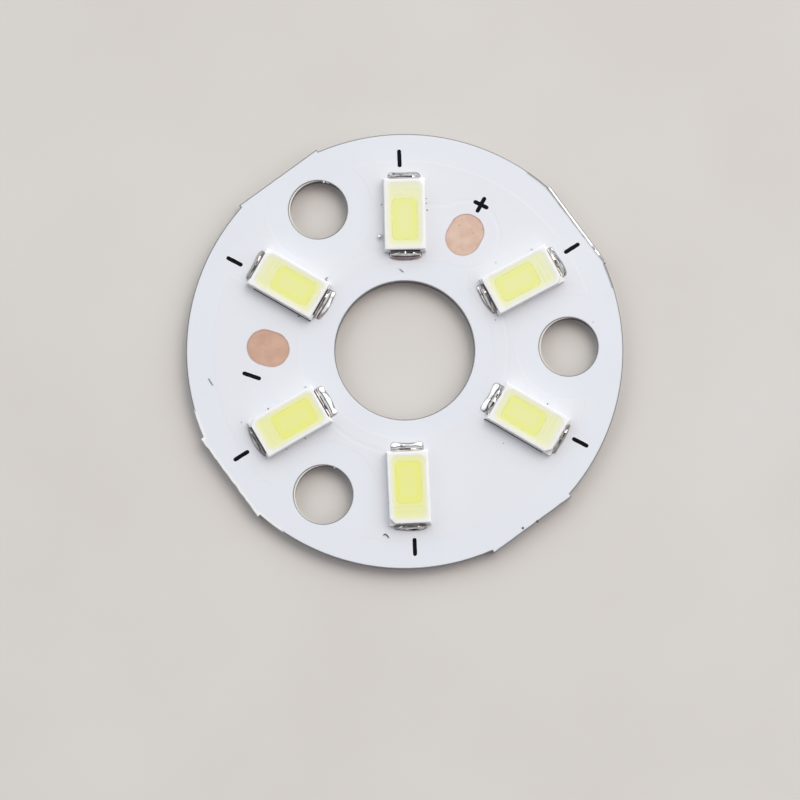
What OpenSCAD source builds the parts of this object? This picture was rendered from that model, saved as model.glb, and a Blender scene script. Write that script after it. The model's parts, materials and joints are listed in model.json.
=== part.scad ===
// Round aluminium circuit board with a ring of six SMD LED packages.
// Millimetres, +Z up. The origin is at the centre of the board's underside.
// The LEDs run clockwise from the top (+Y): LED n stands at 90 - 60 * (n - 1) degrees.
// Each LED points its cathode outward. The circuit is three pairs in series,
// and the two LEDs of a pair flank one screw hole and are wired in parallel.

/* [Board] */
// Diameter of the board's rim
board_d = 32; // [31:0.5:36]
// Thickness of the aluminium core
core_t = 1.0; // [0.8:0.1:2]
// Thickness of the insulating resin between core and copper
dielectric_t = 0.075; // [0.05:0.005:0.15]
// Thickness of the copper foil
copper_t = 0.035; // [0.035:0.035:0.07]
// Thickness of the white solder mask over the copper
mask_t = 0.025; // [0.015:0.005:0.04]
// Diameter of the centre hole
centre_hole_d = 10.2; // [8:0.1:11]
// Diameter of the screw holes
screw_hole_d = 4.3; // [3.2:0.1:4.5]
// Diameter of the circle that the screw holes stand on
screw_pcd = 24.2; // [23.6:0.1:25]

/* [Break-off flats] */
// Width of the tabs that held the board in its panel
tab_w = 7; // [4:0.5:9]
// Direction of the first flat, from +X
tab_turn = 35; // [20:1:50]
// How far the broken web lies inside the rim
web_inset = 0.15; // [0.1:0.05:0.4]
// Depth of the V score on each face
score_depth = 0.35; // [0.2:0.05:0.38]
// Included angle of the V score
score_angle = 45; // [30:5:60]

/* [Copper] */
// Gap between two copper islands
trace_gap = 0.25; // [0.2:0.05:0.35]
// Inner radius of the traces that join the anodes of a pair
trace_r = 6.5; // [6.2:0.1:6.8]
// Width of the traces that join the anodes of a pair
trace_w = 0.95; // [0.6:0.05:1.1]
// Copper pulled back from the wall of a screw hole
hole_clear = 1.75; // [1:0.05:1.9]
// Copper pulled back from the rim
rim_clear = 2; // [1.2:0.1:2.2]
// Copper land beyond the edge of a solder joint
land_margin = 0.1; // [0.05:0.05:0.2]

/* [Wire pads] */
// Length of the bare copper ovals
wire_pad_l = 3.2; // [2.8:0.1:3.6]
// Width of the bare copper ovals
wire_pad_w = 2.65; // [2:0.05:2.75]
// Copper round the positive oval, under the mask
wire_pad_rim = 0.8; // [0.4:0.1:1]
// Distance of the positive pad from the centre
plus_pad_r = 9.6; // [9.2:0.1:10]
// Direction of the positive pad, from +X
plus_pad_angle = 61.5; // [58:0.5:64]
// Distance of the negative pad from the centre
minus_pad_r = 10; // [9.5:0.1:10.6]
// Direction of the negative pad, from +X
minus_pad_angle = 178; // [174:0.5:186]
// Turn of the negative oval from its radial direction
minus_pad_turn = -17; // [-30:1:30]

/* [LED package] */
// Diameter of the circle that the LEDs stand on
led_pcd = 20; // [19.5:0.1:20.5]
// Length of the housing's base, up to the parting line at the lead frame
base_l = 5.44; // [5.36:0.02:5.6]
// Length of the housing above the parting line
housing_l = 5.34; // [5.1:0.02:5.42]
// Width of the housing at the parting line
housing_w = 3.06; // [2.8:0.02:3.3]
// Height of the housing
housing_h = 0.9; // [0.7:0.05:1.05]
// Draft of the walls above the parting line
housing_draft = 3.5; // [0:0.5:6]
// Length of the corner cut that marks the cathode
cathode_cut = 0.4; // [0.2:0.05:0.5]
// Length of the window in the housing's top
window_l = 4.65; // [4.4:0.05:4.8]
// Width of the window in the housing's top
window_w = 2.45; // [2.3:0.05:2.6]
// Corner radius of the window
window_r = 0.4; // [0.3:0.05:0.6]
// Slope of the reflector's walls from upright
reflector_slope = 25; // [10:1:26]
// How far the silicone stays below the housing's rim
silicone_sink = 0.03; // [0.01:0.01:0.1]

/* [Lead frame] */
// Thickness of the lead frame
lead_t = 0.15; // [0.1:0.01:0.18]
// Width of the leads
lead_w = 2.2; // [2:0.05:2.4]
// Height of the shelf inside the housing above the board side
shelf_z = 0.28; // [0.24:0.01:0.32]
// Length of the foot that a lead turns in under the housing
foot_l = 0.55; // [0.4:0.05:0.65]
// Outer radius of the bends between shelf, leg and foot
bend_r = 0.17; // [0.1:0.01:0.2]
// Gap between the two leads
lead_gap = 0.35; // [0.25:0.05:0.4]
// Length of the stamped cup's mouth
cup_l = 2.97; // [2.6:0.01:3]
// Width of the stamped cup's mouth
cup_w = 1.8; // [1.4:0.05:1.8]
// Corner radius of the stamped cup's mouth
cup_r = 0.35; // [0.25:0.05:0.5]
// Slope of the stamped cup's walls from upright
cup_slope = 20; // [5:1:25]
// Shift of the cup towards the anode end
cup_shift = 0.3; // [0.25:0.01:0.35]

/* [Die and bond wires] */
// Length of the die
die_l = 0.9; // [0.6:0.05:1.2]
// Width of the die
die_w = 0.6; // [0.3:0.05:0.9]
// Thickness of the die
die_t = 0.15; // [0.1:0.01:0.18]
// Diameter of the bond wires
wire_d = 0.04; // [0.03:0.005:0.06]
// Rise of a bond wire's loop over the line between its ends
wire_rise = 0.2; // [0.1:0.01:0.25]
// Diameter of the bonds at a wire's ends
bond_d = 0.12; // [0.1:0.01:0.16]
// Height of the bonds at a wire's ends
bond_h = 0.03; // [0.02:0.005:0.04]

/* [Solder] */
// Thickness of the solder under the feet
solder_t = 0.05; // [0.04:0.01:0.1]
// Width of the solder joints
solder_w = 2.3; // [2.25:0.05:2.6]
// Reach of the solder under the housing, from the lead's end
solder_in = 0.6; // [0.5:0.05:0.7]
// Reach of the fillet beyond the anode lead
anode_fillet = 0.48; // [0.2:0.02:0.6]
// Reach of the fillet beyond the cathode lead
cathode_fillet = 0.32; // [0.2:0.02:0.5]
// Height that the fillets climb up the housing beside the leads
fillet_h = 0.38; // [0.25:0.01:0.42]
// Corner radius of the solder joints in plan
solder_r = 0.25; // [0.1:0.05:0.4]

/* [Hidden] */
$fn = 64;
hull_fn = 24;
cut_over = 1;

led_count = 6;
led_step = 360 / led_count;
pair_step = 120;
pair_half = pair_step / 4;
screw_count = 3;
tab_count = 4;

board_r = board_d / 2;
web_reach = board_r - web_inset;
copper_r = board_r - rim_clear;
screw_clear_r = screw_hole_d / 2 + hole_clear;
cathode_r = trace_r + trace_w + trace_gap;

dielectric_z = core_t;
copper_z = dielectric_z + dielectric_t;
copper_top = copper_z + copper_t;
board_t = copper_top + mask_t;
led_z = copper_top + solder_t;
score_half = score_depth * tan(score_angle / 2);

shelf_top = shelf_z + lead_t;
shelf_l = window_l / 2 - (housing_h - shelf_top) * tan(reflector_slope);
lead_end = base_l / 2 + lead_t;
foot_in = lead_end - foot_l;
cup_end = cup_l / 2 - cup_shift + lead_t;
anode_plate_end = cup_end + lead_t / 3;
cathode_plate_end = anode_plate_end + lead_gap;
die_top = lead_t + die_t;
die_bond_x = die_l / 3;
anode_bond_x = (cup_l / 2 + cup_shift + shelf_l) / 2;
cathode_bond_x = (cathode_plate_end + shelf_l) / 2;

anode_land_in = 0.6;
anode_land_end = lead_end + anode_fillet + land_margin;
cathode_land_in = anode_land_in + trace_gap;
cathode_land_end = lead_end + cathode_fillet + land_margin;
land_half = solder_w / 2 + land_margin;
// Radius of a fillet's hollow slope, as a multiple of the slope's length
hollow_ratio = 1.2;
// Sides of a bond wire's section
wire_sides = 12;

// How each LED settled on its solder: outward, anticlockwise (mm) and turned (degrees)
led_settled = [
    [-0.05, -0.20, 0],
    [0, -0.05, -3],
    [0.35, -0.10, -1.5],
    [0.10, 0.10, 1.5],
    [-0.10, 0.20, -1],
    [-0.25, -0.15, -1]
];

LED_PIECES = [
    "housing", "anode_lead", "cathode_lead", "die",
    "bond_wires", "phosphor", "anode_solder", "cathode_solder"
];
function led_node(i, piece) = str("led_", i, "_", piece);

function led_angle(i) = 90 - led_step * (i - 1);
function polar(r, a) = [r * cos(a), r * sin(a)];
// Direction of the screw hole between the two LEDs of pair p, and those LEDs
function pair_angle(p) = pair_step * (2 - p);
function pair_leds(p) = [p == 1 ? led_count : 2 * p - 2, 2 * p - 1];

// Places its children in the frame of LED i: +X outward, origin under the middle of the package
module at_led(i, z = 0) {
    rotate(led_angle(i))
        translate([led_pcd / 2 + led_settled[i - 1][0], led_settled[i - 1][1], z])
            rotate(led_settled[i - 1][2]) children();
}

// Part of a ring, from angle a to angle b, in plan
module sector(r_in, r_out, a, b) {
    far = 2 * r_out;
    intersection() {
        difference() {
            circle(r = r_out);
            circle(r = r_in);
        }
        polygon([[0, 0], polar(far, a), polar(far, (a + b) / 2), polar(far, b)]);
    }
}

// Oval with round ends, long side along X, in plan
module oval(l, w) {
    run = l - w;
    square([run, w], center = true);
    for (side = [-1, 1]) translate([side * run / 2, 0]) circle(d = w);
}

// Rectangle from x1 to x2 with its two corners at x2 rounded, in plan
module rounded_end(x1, x2, w, r) {
    for (side = [-1, 1]) translate([x2 - r, side * (w / 2 - r)]) circle(r = r);
    translate([x1, -w / 2]) square([x2 - x1 - r, w]);
    translate([x2 - r, r - w / 2]) square([r, w - 2 * r]);
}

// Frustum with a rounded rectangle as its foot and mouth, from z1 to z2
module rounded_funnel(l, w, r, slope, z1, z2) {
    grow = (z2 - z1) * tan(slope);
    hull() for (x = [-1, 1], y = [-1, 1])
        translate([x * (l / 2 - r), y * (w / 2 - r), z1])
            cylinder(r1 = r - grow, r2 = r, h = z2 - z1, $fn = hull_fn);
}

// The board's outline with its holes, in plan
module board_plan() {
    difference() {
        intersection() {
            union() {
                circle(d = board_d, $fn = 180);
                for (k = [0:tab_count - 1])
                    rotate(tab_turn + 90 * k) translate([0, -tab_w / 2]) square([board_r, tab_w]);
            }
            rotate(tab_turn) square(2 * web_reach, center = true);
        }
        circle(d = centre_hole_d, $fn = 120);
        for (k = [0:screw_count - 1])
            translate(polar(screw_pcd / 2, pair_step * k)) circle(d = screw_hole_d);
    }
}

// V scores along the four flats, on the top and bottom faces
module score_cuts() {
    v = [
        [-score_half, 0], [0, -score_depth], [cut_over, -score_depth],
        [cut_over, cut_over], [-score_half, cut_over]
    ];
    for (k = [0:tab_count - 1]) rotate(tab_turn + 90 * k) {
        translate([web_reach, board_r, board_t])
            rotate([90, 0, 0]) linear_extrude(board_d) polygon(v);
        translate([web_reach, board_r, 0]) mirror([0, 0, 1])
            rotate([90, 0, 0]) linear_extrude(board_d) polygon(v);
    }
}

// One full layer of the board
module board_layer(z, t) {
    difference() {
        translate([0, 0, z]) linear_extrude(t) board_plan();
        score_cuts();
    }
}

// Copper lands under the two ends of LED i, in plan
module anode_land(i) {
    at_led(i) translate([-anode_land_end, -land_half])
        square([anode_land_end + anode_land_in, 2 * land_half]);
}

module cathode_land(i) {
    at_led(i) translate([cathode_land_in, -land_half])
        square([cathode_land_end - cathode_land_in, 2 * land_half]);
}

// Space that other copper leaves round the lands of LED i, in to the centre or out to the rim, in plan
module anode_moat(i) {
    w = land_half + trace_gap;
    at_led(i) translate([-led_pcd / 2, -w]) square([led_pcd / 2 + anode_land_in + trace_gap, 2 * w]);
}

module cathode_moat(i) {
    w = land_half + trace_gap;
    at_led(i) translate([cathode_land_in - trace_gap, -w]) square([board_r, 2 * w]);
}

// Copper that joins the anodes of pair p, in plan
module anode_net(p) {
    sector(trace_r, trace_r + trace_w, pair_angle(p) - pair_half, pair_angle(p) + pair_half);
    for (i = pair_leds(p)) anode_land(i);
}

// Copper that joins the cathodes of pair p round the inner side of its screw hole, in plan
module cathode_net(p) {
    difference() {
        sector(cathode_r, copper_r, pair_angle(p) - pair_half, pair_angle(p) + pair_half);
        translate(polar(screw_pcd / 2, pair_angle(p))) circle(r = screw_clear_r);
        for (i = pair_leds(p)) anode_moat(i);
    }
    for (i = pair_leds(p)) cathode_land(i);
}

// Copper round the positive wire pad, joined to the anode of LED 1, in plan
module plus_island() {
    pad = polar(plus_pad_r, plus_pad_angle);
    translate(pad) circle(r = wire_pad_l / 2 + wire_pad_rim);
    at_led(1) translate([-anode_land_end, -pad.x]) square([anode_land_end + anode_land_in, pad.x]);
}

// Space that other copper leaves round the positive wire pad, in to the centre, in plan
module plus_moat() {
    pad = polar(plus_pad_r, plus_pad_angle);
    translate(pad) circle(r = wire_pad_l / 2 + wire_pad_rim + trace_gap);
    at_led(1) translate([-led_pcd / 2, -pad.x]) square([led_pcd / 2 + anode_land_in + trace_gap, pad.x]);
}

// Copper that leads from the cathodes of pair p to the anodes of the next pair, in plan
module link_field(p) {
    last = 2 * p - 1;
    next = 2 * p;
    difference() {
        sector(trace_r, copper_r, led_angle(next), led_angle(last));
        anode_moat(last);
        cathode_moat(next);
        children();
    }
}

module positive_plan() {
    anode_net(1);
    plus_island();
}

module link_1_plan() {
    cathode_net(1);
    link_field(1) plus_moat();
    anode_net(2);
}

module link_2_plan() {
    cathode_net(2);
    link_field(2);
    anode_net(3);
}

module negative_plan() {
    cathode_net(3);
    difference() {
        sector(cathode_r, copper_r, led_angle(6), led_angle(5));
        anode_moat(5);
        anode_moat(6);
        cathode_moat(6);
    }
}

// Bare ovals where the supply wires are soldered, in plan
module wire_pads() {
    translate(polar(plus_pad_r, plus_pad_angle)) rotate(plus_pad_angle) oval(wire_pad_l, wire_pad_w);
    translate(polar(minus_pad_r, minus_pad_angle))
        rotate(minus_pad_angle + minus_pad_turn) oval(wire_pad_l, wire_pad_w);
}

// Turns what is drawn for the cathode end round to the anode end
module at_anode() {
    mirror([1, 0, 0]) children();
}

// Outline of the solder joint at a lead, in plan
module joint_plan(reach) {
    rounded_end(lead_end - solder_in, lead_end + reach, solder_w, solder_r);
}

module foil() {
    translate([0, 0, copper_z]) linear_extrude(copper_t) children();
}

module aluminium_core() {
    color("#c9ccd0") board_layer(0, core_t);
}

module dielectric_layer() {
    color("#d8d2c0") board_layer(dielectric_z, dielectric_t);
}

module copper_positive() {
    color("#d9a58a") foil() positive_plan();
}

module copper_link_1() {
    color("#d9a58a") foil() link_1_plan();
}

module copper_link_2() {
    color("#d9a58a") foil() link_2_plan();
}

module copper_negative() {
    color("#d9a58a") foil() negative_plan();
}

module solder_mask() {
    color("#e6eaee") difference() {
        board_layer(copper_z, copper_t + mask_t);
        foil() {
            positive_plan();
            link_1_plan();
            link_2_plan();
            negative_plan();
        }
        translate([0, 0, copper_z]) linear_extrude(copper_t + mask_t + cut_over) {
            wire_pads();
            for (i = [1:led_count]) at_led(i) {
                at_anode() joint_plan(anode_fillet);
                joint_plan(cathode_fillet);
            }
        }
    }
}

// Section of the housing above the parting line, from its half width there, in plan
module drafted_wall(half) {
    lean = (housing_h - shelf_top) * tan(housing_draft);
    polygon([
        [-half, shelf_top], [half, shelf_top],
        [half - lean, housing_h], [lean - half, housing_h]
    ]);
}

// Outer form of the housing: upright base, drafted upper part and its cut cathode corner
module housing_block() {
    x = housing_l / 2;
    y = housing_w / 2;
    translate([-base_l / 2, -y, 0]) cube([base_l, housing_w, shelf_top]);
    intersection() {
        rotate([90, 0, 0]) linear_extrude(housing_w, center = true) drafted_wall(x);
        rotate([90, 0, 90]) linear_extrude(housing_l, center = true) drafted_wall(y);
        linear_extrude(housing_h)
            polygon([[-x, -y], [x - cathode_cut, -y], [x, cathode_cut - y], [x, y], [-x, y]]);
    }
}

module reflector_space() {
    rounded_funnel(window_l, window_w, window_r, reflector_slope, shelf_top, housing_h);
}

// Side of a lead: shelf in the housing, leg down its end wall and foot turned in under it, in plan
module lead_side(x_in) {
    translate([x_in, shelf_z]) square([foot_in - x_in, lead_t]);
    difference() {
        translate([0, shelf_top / 2]) rounded_end(foot_in, lead_end, shelf_top, bend_r);
        translate([foot_in, lead_t]) square([foot_l - lead_t, shelf_z - lead_t]);
    }
}

module lead_strip(x_in) {
    rotate([90, 0, 0]) linear_extrude(lead_w, center = true) lead_side(x_in);
}

module cup_outside() {
    translate([-cup_shift, 0, 0]) rounded_funnel(
        cup_l + 2 * lead_t, cup_w + 2 * lead_t, cup_r + lead_t, cup_slope, 0, shelf_top);
}

module cup_inside() {
    translate([-cup_shift, 0, 0])
        rounded_funnel(cup_l, cup_w, cup_r, cup_slope, lead_t, shelf_top);
}

module anode_blank() {
    at_anode() lead_strip(-anode_plate_end);
    cup_outside();
}

module led_housing() {
    color("#f4f4ef") difference() {
        housing_block();
        reflector_space();
        anode_blank();
        lead_strip(cathode_plate_end);
    }
}

module led_anode_lead() {
    color("#d4d4d2") difference() {
        anode_blank();
        cup_inside();
    }
}

module led_cathode_lead() {
    color("#d4d4d2") lead_strip(cathode_plate_end);
}

module led_die() {
    color("#8fb0d0") translate([-cup_shift - die_l / 2, -die_w / 2, lead_t]) cube([die_l, die_w, die_t]);
}

// A bond wire from the die at x1 out to a lead's shelf at x2: a ball, an arched wire and a stitch
module bond_wire(x1, x2) {
    z1 = die_top + bond_h;
    z2 = shelf_top + bond_h;
    chord = norm([x2 - x1, z2 - z1]);
    arch_r = (chord * chord / 4 + wire_rise * wire_rise) / (2 * wire_rise);
    half = asin(chord / 2 / arch_r);
    translate([x1, 0, die_top]) cylinder(d = bond_d, h = bond_h);
    translate([x2, 0, shelf_top]) cylinder(d = bond_d, h = bond_h);
    translate([(x1 + x2) / 2, 0, (z1 + z2) / 2])
        rotate([0, -atan2(z2 - z1, x2 - x1), 0])
            translate([0, 0, wire_rise - arch_r])
                rotate([90, 0, 0]) rotate(90 - half)
                    rotate_extrude(angle = 2 * half, $fn = 96)
                        translate([arch_r, 0]) circle(d = wire_d, $fn = wire_sides);
}

module led_bond_wires() {
    color("#e0c060") {
        at_anode() bond_wire(cup_shift + die_bond_x, anode_bond_x);
        bond_wire(die_bond_x - cup_shift, cathode_bond_x);
    }
}

module led_phosphor() {
    color("#e8ea86") difference() {
        union() {
            reflector_space();
            cup_inside();
        }
        translate([0, 0, housing_h - silicone_sink + cut_over / 2])
            cube([base_l, base_l, cut_over], center = true);
        led_die();
        led_bond_wires();
    }
}

// Side of a solder joint: flat under the foot, hollow slope from the housing to the mask's brim
module fillet_side(reach) {
    x1 = base_l / 2;
    x2 = lead_end + reach;
    l = x2 - x1;
    h = fillet_h + solder_t - mask_t;
    chord = norm([l, h]);
    hollow_r = hollow_ratio * chord;
    lift = sqrt(hollow_r * hollow_r - chord * chord / 4) / chord;
    difference() {
        translate([lead_end - solder_in, -solder_t]) square([reach + solder_in, fillet_h + solder_t]);
        translate([x1 + l / 2 + h * lift, fillet_h - h / 2 + l * lift]) circle(r = hollow_r, $fn = 96);
    }
}

// Solder round a lead before the housing is taken away, outward along X
module fillet_block(reach) {
    difference() {
        intersection() {
            rotate([90, 0, 0]) linear_extrude(solder_w, center = true) fillet_side(reach);
            translate([0, 0, -solder_t]) linear_extrude(housing_h) joint_plan(reach);
        }
        lead_strip(cathode_plate_end);
    }
}

module led_anode_solder() {
    color("#c4c6c8") difference() {
        at_anode() fillet_block(anode_fillet);
        housing_block();
    }
}

module led_cathode_solder() {
    color("#c4c6c8") difference() {
        fillet_block(cathode_fillet);
        housing_block();
    }
}

aluminium_core();
dielectric_layer();
solder_mask();
copper_positive();
copper_link_1();
copper_link_2();
copper_negative();

for (i = [1:led_count]) at_led(i, led_z) {
    led_housing();
    led_anode_lead();
    led_cathode_lead();
    led_die();
    led_bond_wires();
    led_phosphor();
    led_anode_solder();
    led_cathode_solder();
}
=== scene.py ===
# %% [markdown]
# # A round LED board, dressed around its CAD frame
# The object is a white disc of aluminium-cored circuit board, 32 mm across, with six LED packages soldered
# in a ring round a large hole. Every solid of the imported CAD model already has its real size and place, in
# metres. This lesson keeps the solids whose shape is right and gives them materials. It rebuilds the pieces
# whose look comes from soft edges and wetted surfaces: lacquer, mouldings, silicone and solder.

# %% Load the frame
import json
import math

import bmesh
import bpy
import numpy as np
from mathutils import Matrix, Vector, geometry, noise
from mathutils.bvhtree import BVHTree


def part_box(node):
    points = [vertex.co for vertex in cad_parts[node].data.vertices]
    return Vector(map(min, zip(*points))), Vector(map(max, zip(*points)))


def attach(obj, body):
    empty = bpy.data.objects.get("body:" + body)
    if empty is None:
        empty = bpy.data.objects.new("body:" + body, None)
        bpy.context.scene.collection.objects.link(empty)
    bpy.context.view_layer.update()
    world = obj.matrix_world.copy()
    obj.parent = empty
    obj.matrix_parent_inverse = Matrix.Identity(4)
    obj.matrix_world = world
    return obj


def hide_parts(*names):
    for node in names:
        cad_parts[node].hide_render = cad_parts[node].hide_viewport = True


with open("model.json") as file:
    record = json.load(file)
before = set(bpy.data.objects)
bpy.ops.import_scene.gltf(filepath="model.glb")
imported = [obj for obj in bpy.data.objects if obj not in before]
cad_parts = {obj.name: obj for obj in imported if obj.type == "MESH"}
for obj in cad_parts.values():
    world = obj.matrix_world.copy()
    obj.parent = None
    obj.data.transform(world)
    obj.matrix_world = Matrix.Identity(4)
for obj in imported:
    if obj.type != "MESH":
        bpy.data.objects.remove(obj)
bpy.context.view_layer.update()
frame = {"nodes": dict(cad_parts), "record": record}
nodes = frame["nodes"]
MM = 0.001
UP = Vector((0, 0, 1))
LEDS = range(1, 7)
scene = bpy.context.scene
scene.view_settings.view_transform = "Standard"

# %% [markdown]
# ## Camera
# The photograph was taken by hand from almost straight above. The camera could be placed by eye, but its
# place follows from three things that can be read off the picture: where the board's centre lies, how many
# pixels make a millimetre, and how much of the lower end walls shows, which gives the tilt. A long lens at a
# quarter of a metre gives the weak perspective of a picture that was cropped.

# %% Camera
IMAGE_SIDE = 800
PIXELS_PER_MM = 13.68
BOARD_CENTRE_PX = (404.7, 350.2)
VIEW_AZIMUTH = math.radians(-1.15)
VIEW_ELEVATION = math.radians(85)
VIEW_DISTANCE = 250 * MM
SENSOR_WIDTH = 36


def plan_way(turn):
    """Direction in plan, turned from +X by an angle."""
    return Vector((math.cos(turn), math.sin(turn), 0))


view_right = plan_way(VIEW_AZIMUTH)
view_up = Vector((-view_right.y, view_right.x, 0))
view_back = view_up * -math.cos(VIEW_ELEVATION) + UP * math.sin(VIEW_ELEVATION)
image_middle = IMAGE_SIDE / 2
aim_right = (image_middle - BOARD_CENTRE_PX[0]) / PIXELS_PER_MM * MM
aim_up = (BOARD_CENTRE_PX[1] - image_middle) / PIXELS_PER_MM * MM / math.sin(VIEW_ELEVATION)
board_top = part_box("solder_mask")[1].z
aim = view_right * aim_right + view_up * aim_up + UP * board_top

camera_data = bpy.data.cameras.new("camera")
camera_data.sensor_width = SENSOR_WIDTH
camera_data.lens = SENSOR_WIDTH * VIEW_DISTANCE / MM * PIXELS_PER_MM / IMAGE_SIDE
camera_data.clip_start = 1 * MM
camera = bpy.data.objects.new("camera", camera_data)
camera.location = aim + view_back * VIEW_DISTANCE
camera.rotation_euler = view_back.to_track_quat("Z", "Y").to_euler()
scene.collection.objects.link(camera)
scene.camera = camera
print(f"camera aims at {aim.x / MM:.2f}, {aim.y / MM:.2f} mm with a {camera_data.lens:.0f} mm lens")

# %% [markdown]
# ## Helpers for materials
# Colours are read off real surfaces as sRGB hex values, but shaders work in linear light, so one function
# converts them. Another adds a node, sets its properties and fills its inputs, with a value, a colour or the
# output of another node, and gives back one of its own outputs. So a material reads as a short list of what
# is mixed with what, and ends with what its shader gets.

# %% Material helpers
def linear(hex_colour):
    """Turn an sRGB hex colour into the linear RGBA that a shader socket takes."""
    shares = [int(hex_colour[k:k + 2], 16) / 255 for k in (1, 3, 5)]
    return [s / 12.92 if s <= 0.04045 else ((s + 0.055) / 1.055) ** 2.4 for s in shares] + [1]


def grey(level):
    """A level from 0 to 1 as the linear RGBA of a grey."""
    return [level] * 3 + [1]


def socket_value(value):
    """A hex colour in linear light, and any other value as it is."""
    return linear(value) if isinstance(value, str) else value


def fill(tree, node, inputs):
    """Fill a node's sockets, by name or number, with values, hex colours or outputs of other nodes."""
    for socket, value in inputs.items():
        if isinstance(value, bpy.types.NodeSocket):
            tree.links.new(value, node.inputs[socket])
        else:
            node.inputs[socket].default_value = socket_value(value)


def add(tree, kind, inputs=None, stops=(), out=0, **settings):
    """Add a node with its properties, its inputs and a ramp's stops, and give back one of its outputs."""
    node = tree.nodes.new("ShaderNode" + kind)
    for name, value in settings.items():
        setattr(node, name, value)
    fill(tree, node, inputs or {})
    if stops:
        ramp = node.color_ramp.elements
        for element, (at, colour) in ((ramp[0], stops[0]), (ramp[1], stops[-1])):
            element.position = at
            element.color = socket_value(colour)
        for at, colour in stops[1:-1]:
            ramp.new(at).color = socket_value(colour)
    return node.outputs[out] if node.outputs else None


def new_material(name):
    """Start a material: the material, its node tree and the object's own coordinates."""
    made = bpy.data.materials.new(name)
    made.use_nodes = True
    return made, made.node_tree, add(made.node_tree, "TexCoord", out="Object")


def finished(made, sockets):
    """Fill the sockets of a material's shader and give back the material."""
    fill(made.node_tree, made.node_tree.nodes["Principled BSDF"], sockets)
    print(f"{made.name}: {len(made.node_tree.nodes)} nodes")
    return made


def apart(tree, place):
    """Coordinates moved by the object's own place, so that copies of a piece do not share one pattern."""
    own = add(tree, "ObjectInfo", out="Location")
    return add(tree, "VectorMath", {0: place, 1: own}, operation="ADD")


def per_mm(size):
    """Texture scale at which one feature of a pattern is as large as a size in millimetres."""
    return 1 / (size * MM)


# What makes a Mix node mix colours, and the numbers of its two colour sockets
MIXED = {"data_type": "RGBA", "out": 2}
MIX_A = 6
MIX_B = 7
# Factor that drops the height of a place
IN_PLAN = (1, 1, 0)
print("white in linear light:", linear("#ffffff"))

# %% [markdown]
# ## Light
# Daylight from a window at the upper right lit the board: its shadows fall to the lower left and fade out
# within half a millimetre, so the source is large. The room gives the rest. One square lamp and a soft world
# are enough. The world is darker straight above, where the camera was held, near the horizon, and on the near
# side of the board. Flat metal mirrors the dark part and sloping metal the bright or the near part, and that
# contrast makes it look like metal.

# %% Light
LAMP_AZIMUTH = math.radians(50)
LAMP_ELEVATION = math.radians(60)
LAMP_DISTANCE = 1200 * MM
LAMP_SIDE = 700 * MM
LAMP_POWER = 4.8
LAMP_COLOUR = "#fff0e5"
# Share of the light that the room gives, of what makes a white surface render white
SKY_SHARE = 1.05
# Brightness of the room at these heights, from 0 at the horizon to 1 straight above
SKY_BANDS = ((0, 0.05), (0.18, 0.08), (0.34, 0.6), (0.5, 1.2),
             (0.72, 1.15), (0.86, 0.7), (0.94, 0.14), (1, 0.06))
SKY_SAMPLES = 501
# How much brighter the window's side of the room is
SKY_LEAN = 0.3
# Colour of the room from the near side, at -1, to the far side, at 1
SKY_SIDES = ((-1, "#6a5e64"), (-0.6, "#857a80"), (-0.2, "#dfe2e6"), (0.1, "#f0f8fe"), (1, "#f0f8fe"))

lamp_out = plan_way(LAMP_AZIMUTH)
lamp_way = lamp_out * math.cos(LAMP_ELEVATION) + UP * math.sin(LAMP_ELEVATION)
lamp_data = bpy.data.lights.new("window", "AREA")
lamp_data.size = LAMP_SIDE
lamp_data.energy = LAMP_POWER
lamp_data.color = linear(LAMP_COLOUR)[:3]
lamp = bpy.data.objects.new("window", lamp_data)
lamp.location = lamp_way * LAMP_DISTANCE
lamp.rotation_euler = lamp_way.to_track_quat("Z", "Y").to_euler()
scene.collection.objects.link(lamp)

world = bpy.data.worlds.new("room")
world.use_nodes = True
scene.world = world
sky = world.node_tree
sky.nodes.clear()
brightest = max(level for _, level in SKY_BANDS)
sky_heights = np.linspace(0, 1, SKY_SAMPLES)
sky_levels = np.interp(sky_heights, *zip(*SKY_BANDS))
# On a level surface, light counts by the height that it comes from
sky_strength = SKY_SHARE / np.mean(2 * sky_levels * sky_heights)
way = add(sky, "TexCoord", out="Generated")
height = add(sky, "SeparateXYZ", {0: way}, out="Z")
bands = add(sky, "ValToRGB", {0: height}, [(at, grey(level / brightest)) for at, level in SKY_BANDS])
lean = add(sky, "VectorMath", {0: way, 1: lamp_out * SKY_LEAN}, operation="DOT_PRODUCT", out="Value")
lean = add(sky, "Math", {0: lean, 1: 1.0}, operation="ADD")
strength = add(sky, "Math", {0: bands, 1: lean}, operation="MULTIPLY")
strength = add(sky, "Math", {0: strength, 1: sky_strength * brightest}, operation="MULTIPLY")
far = add(sky, "VectorMath", {0: way, 1: view_up}, operation="DOT_PRODUCT", out="Value")
far = add(sky, "MapRange", {"Value": far, "From Min": -1.0})
sides = add(sky, "ValToRGB", {0: far}, [((at + 1) / 2, colour) for at, colour in SKY_SIDES])
room = add(sky, "Background", {"Color": sides, "Strength": strength})
add(sky, "OutputWorld", {"Surface": room})
print(f"one lamp of {LAMP_POWER} W and a room of {len(SKY_BANDS)} bands")

# %% [markdown]
# ## Floor
# The board lies on a pale, matt, slightly warm table. A plane is enough, but a faint cloudiness keeps it from
# looking like a flat fill, so the shadows at the rim and inside the holes read as lying on a surface.

# %% Floor
FLOOR_HALF = 4000 * MM
FLOOR_DROP = 0.005 * MM


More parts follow.
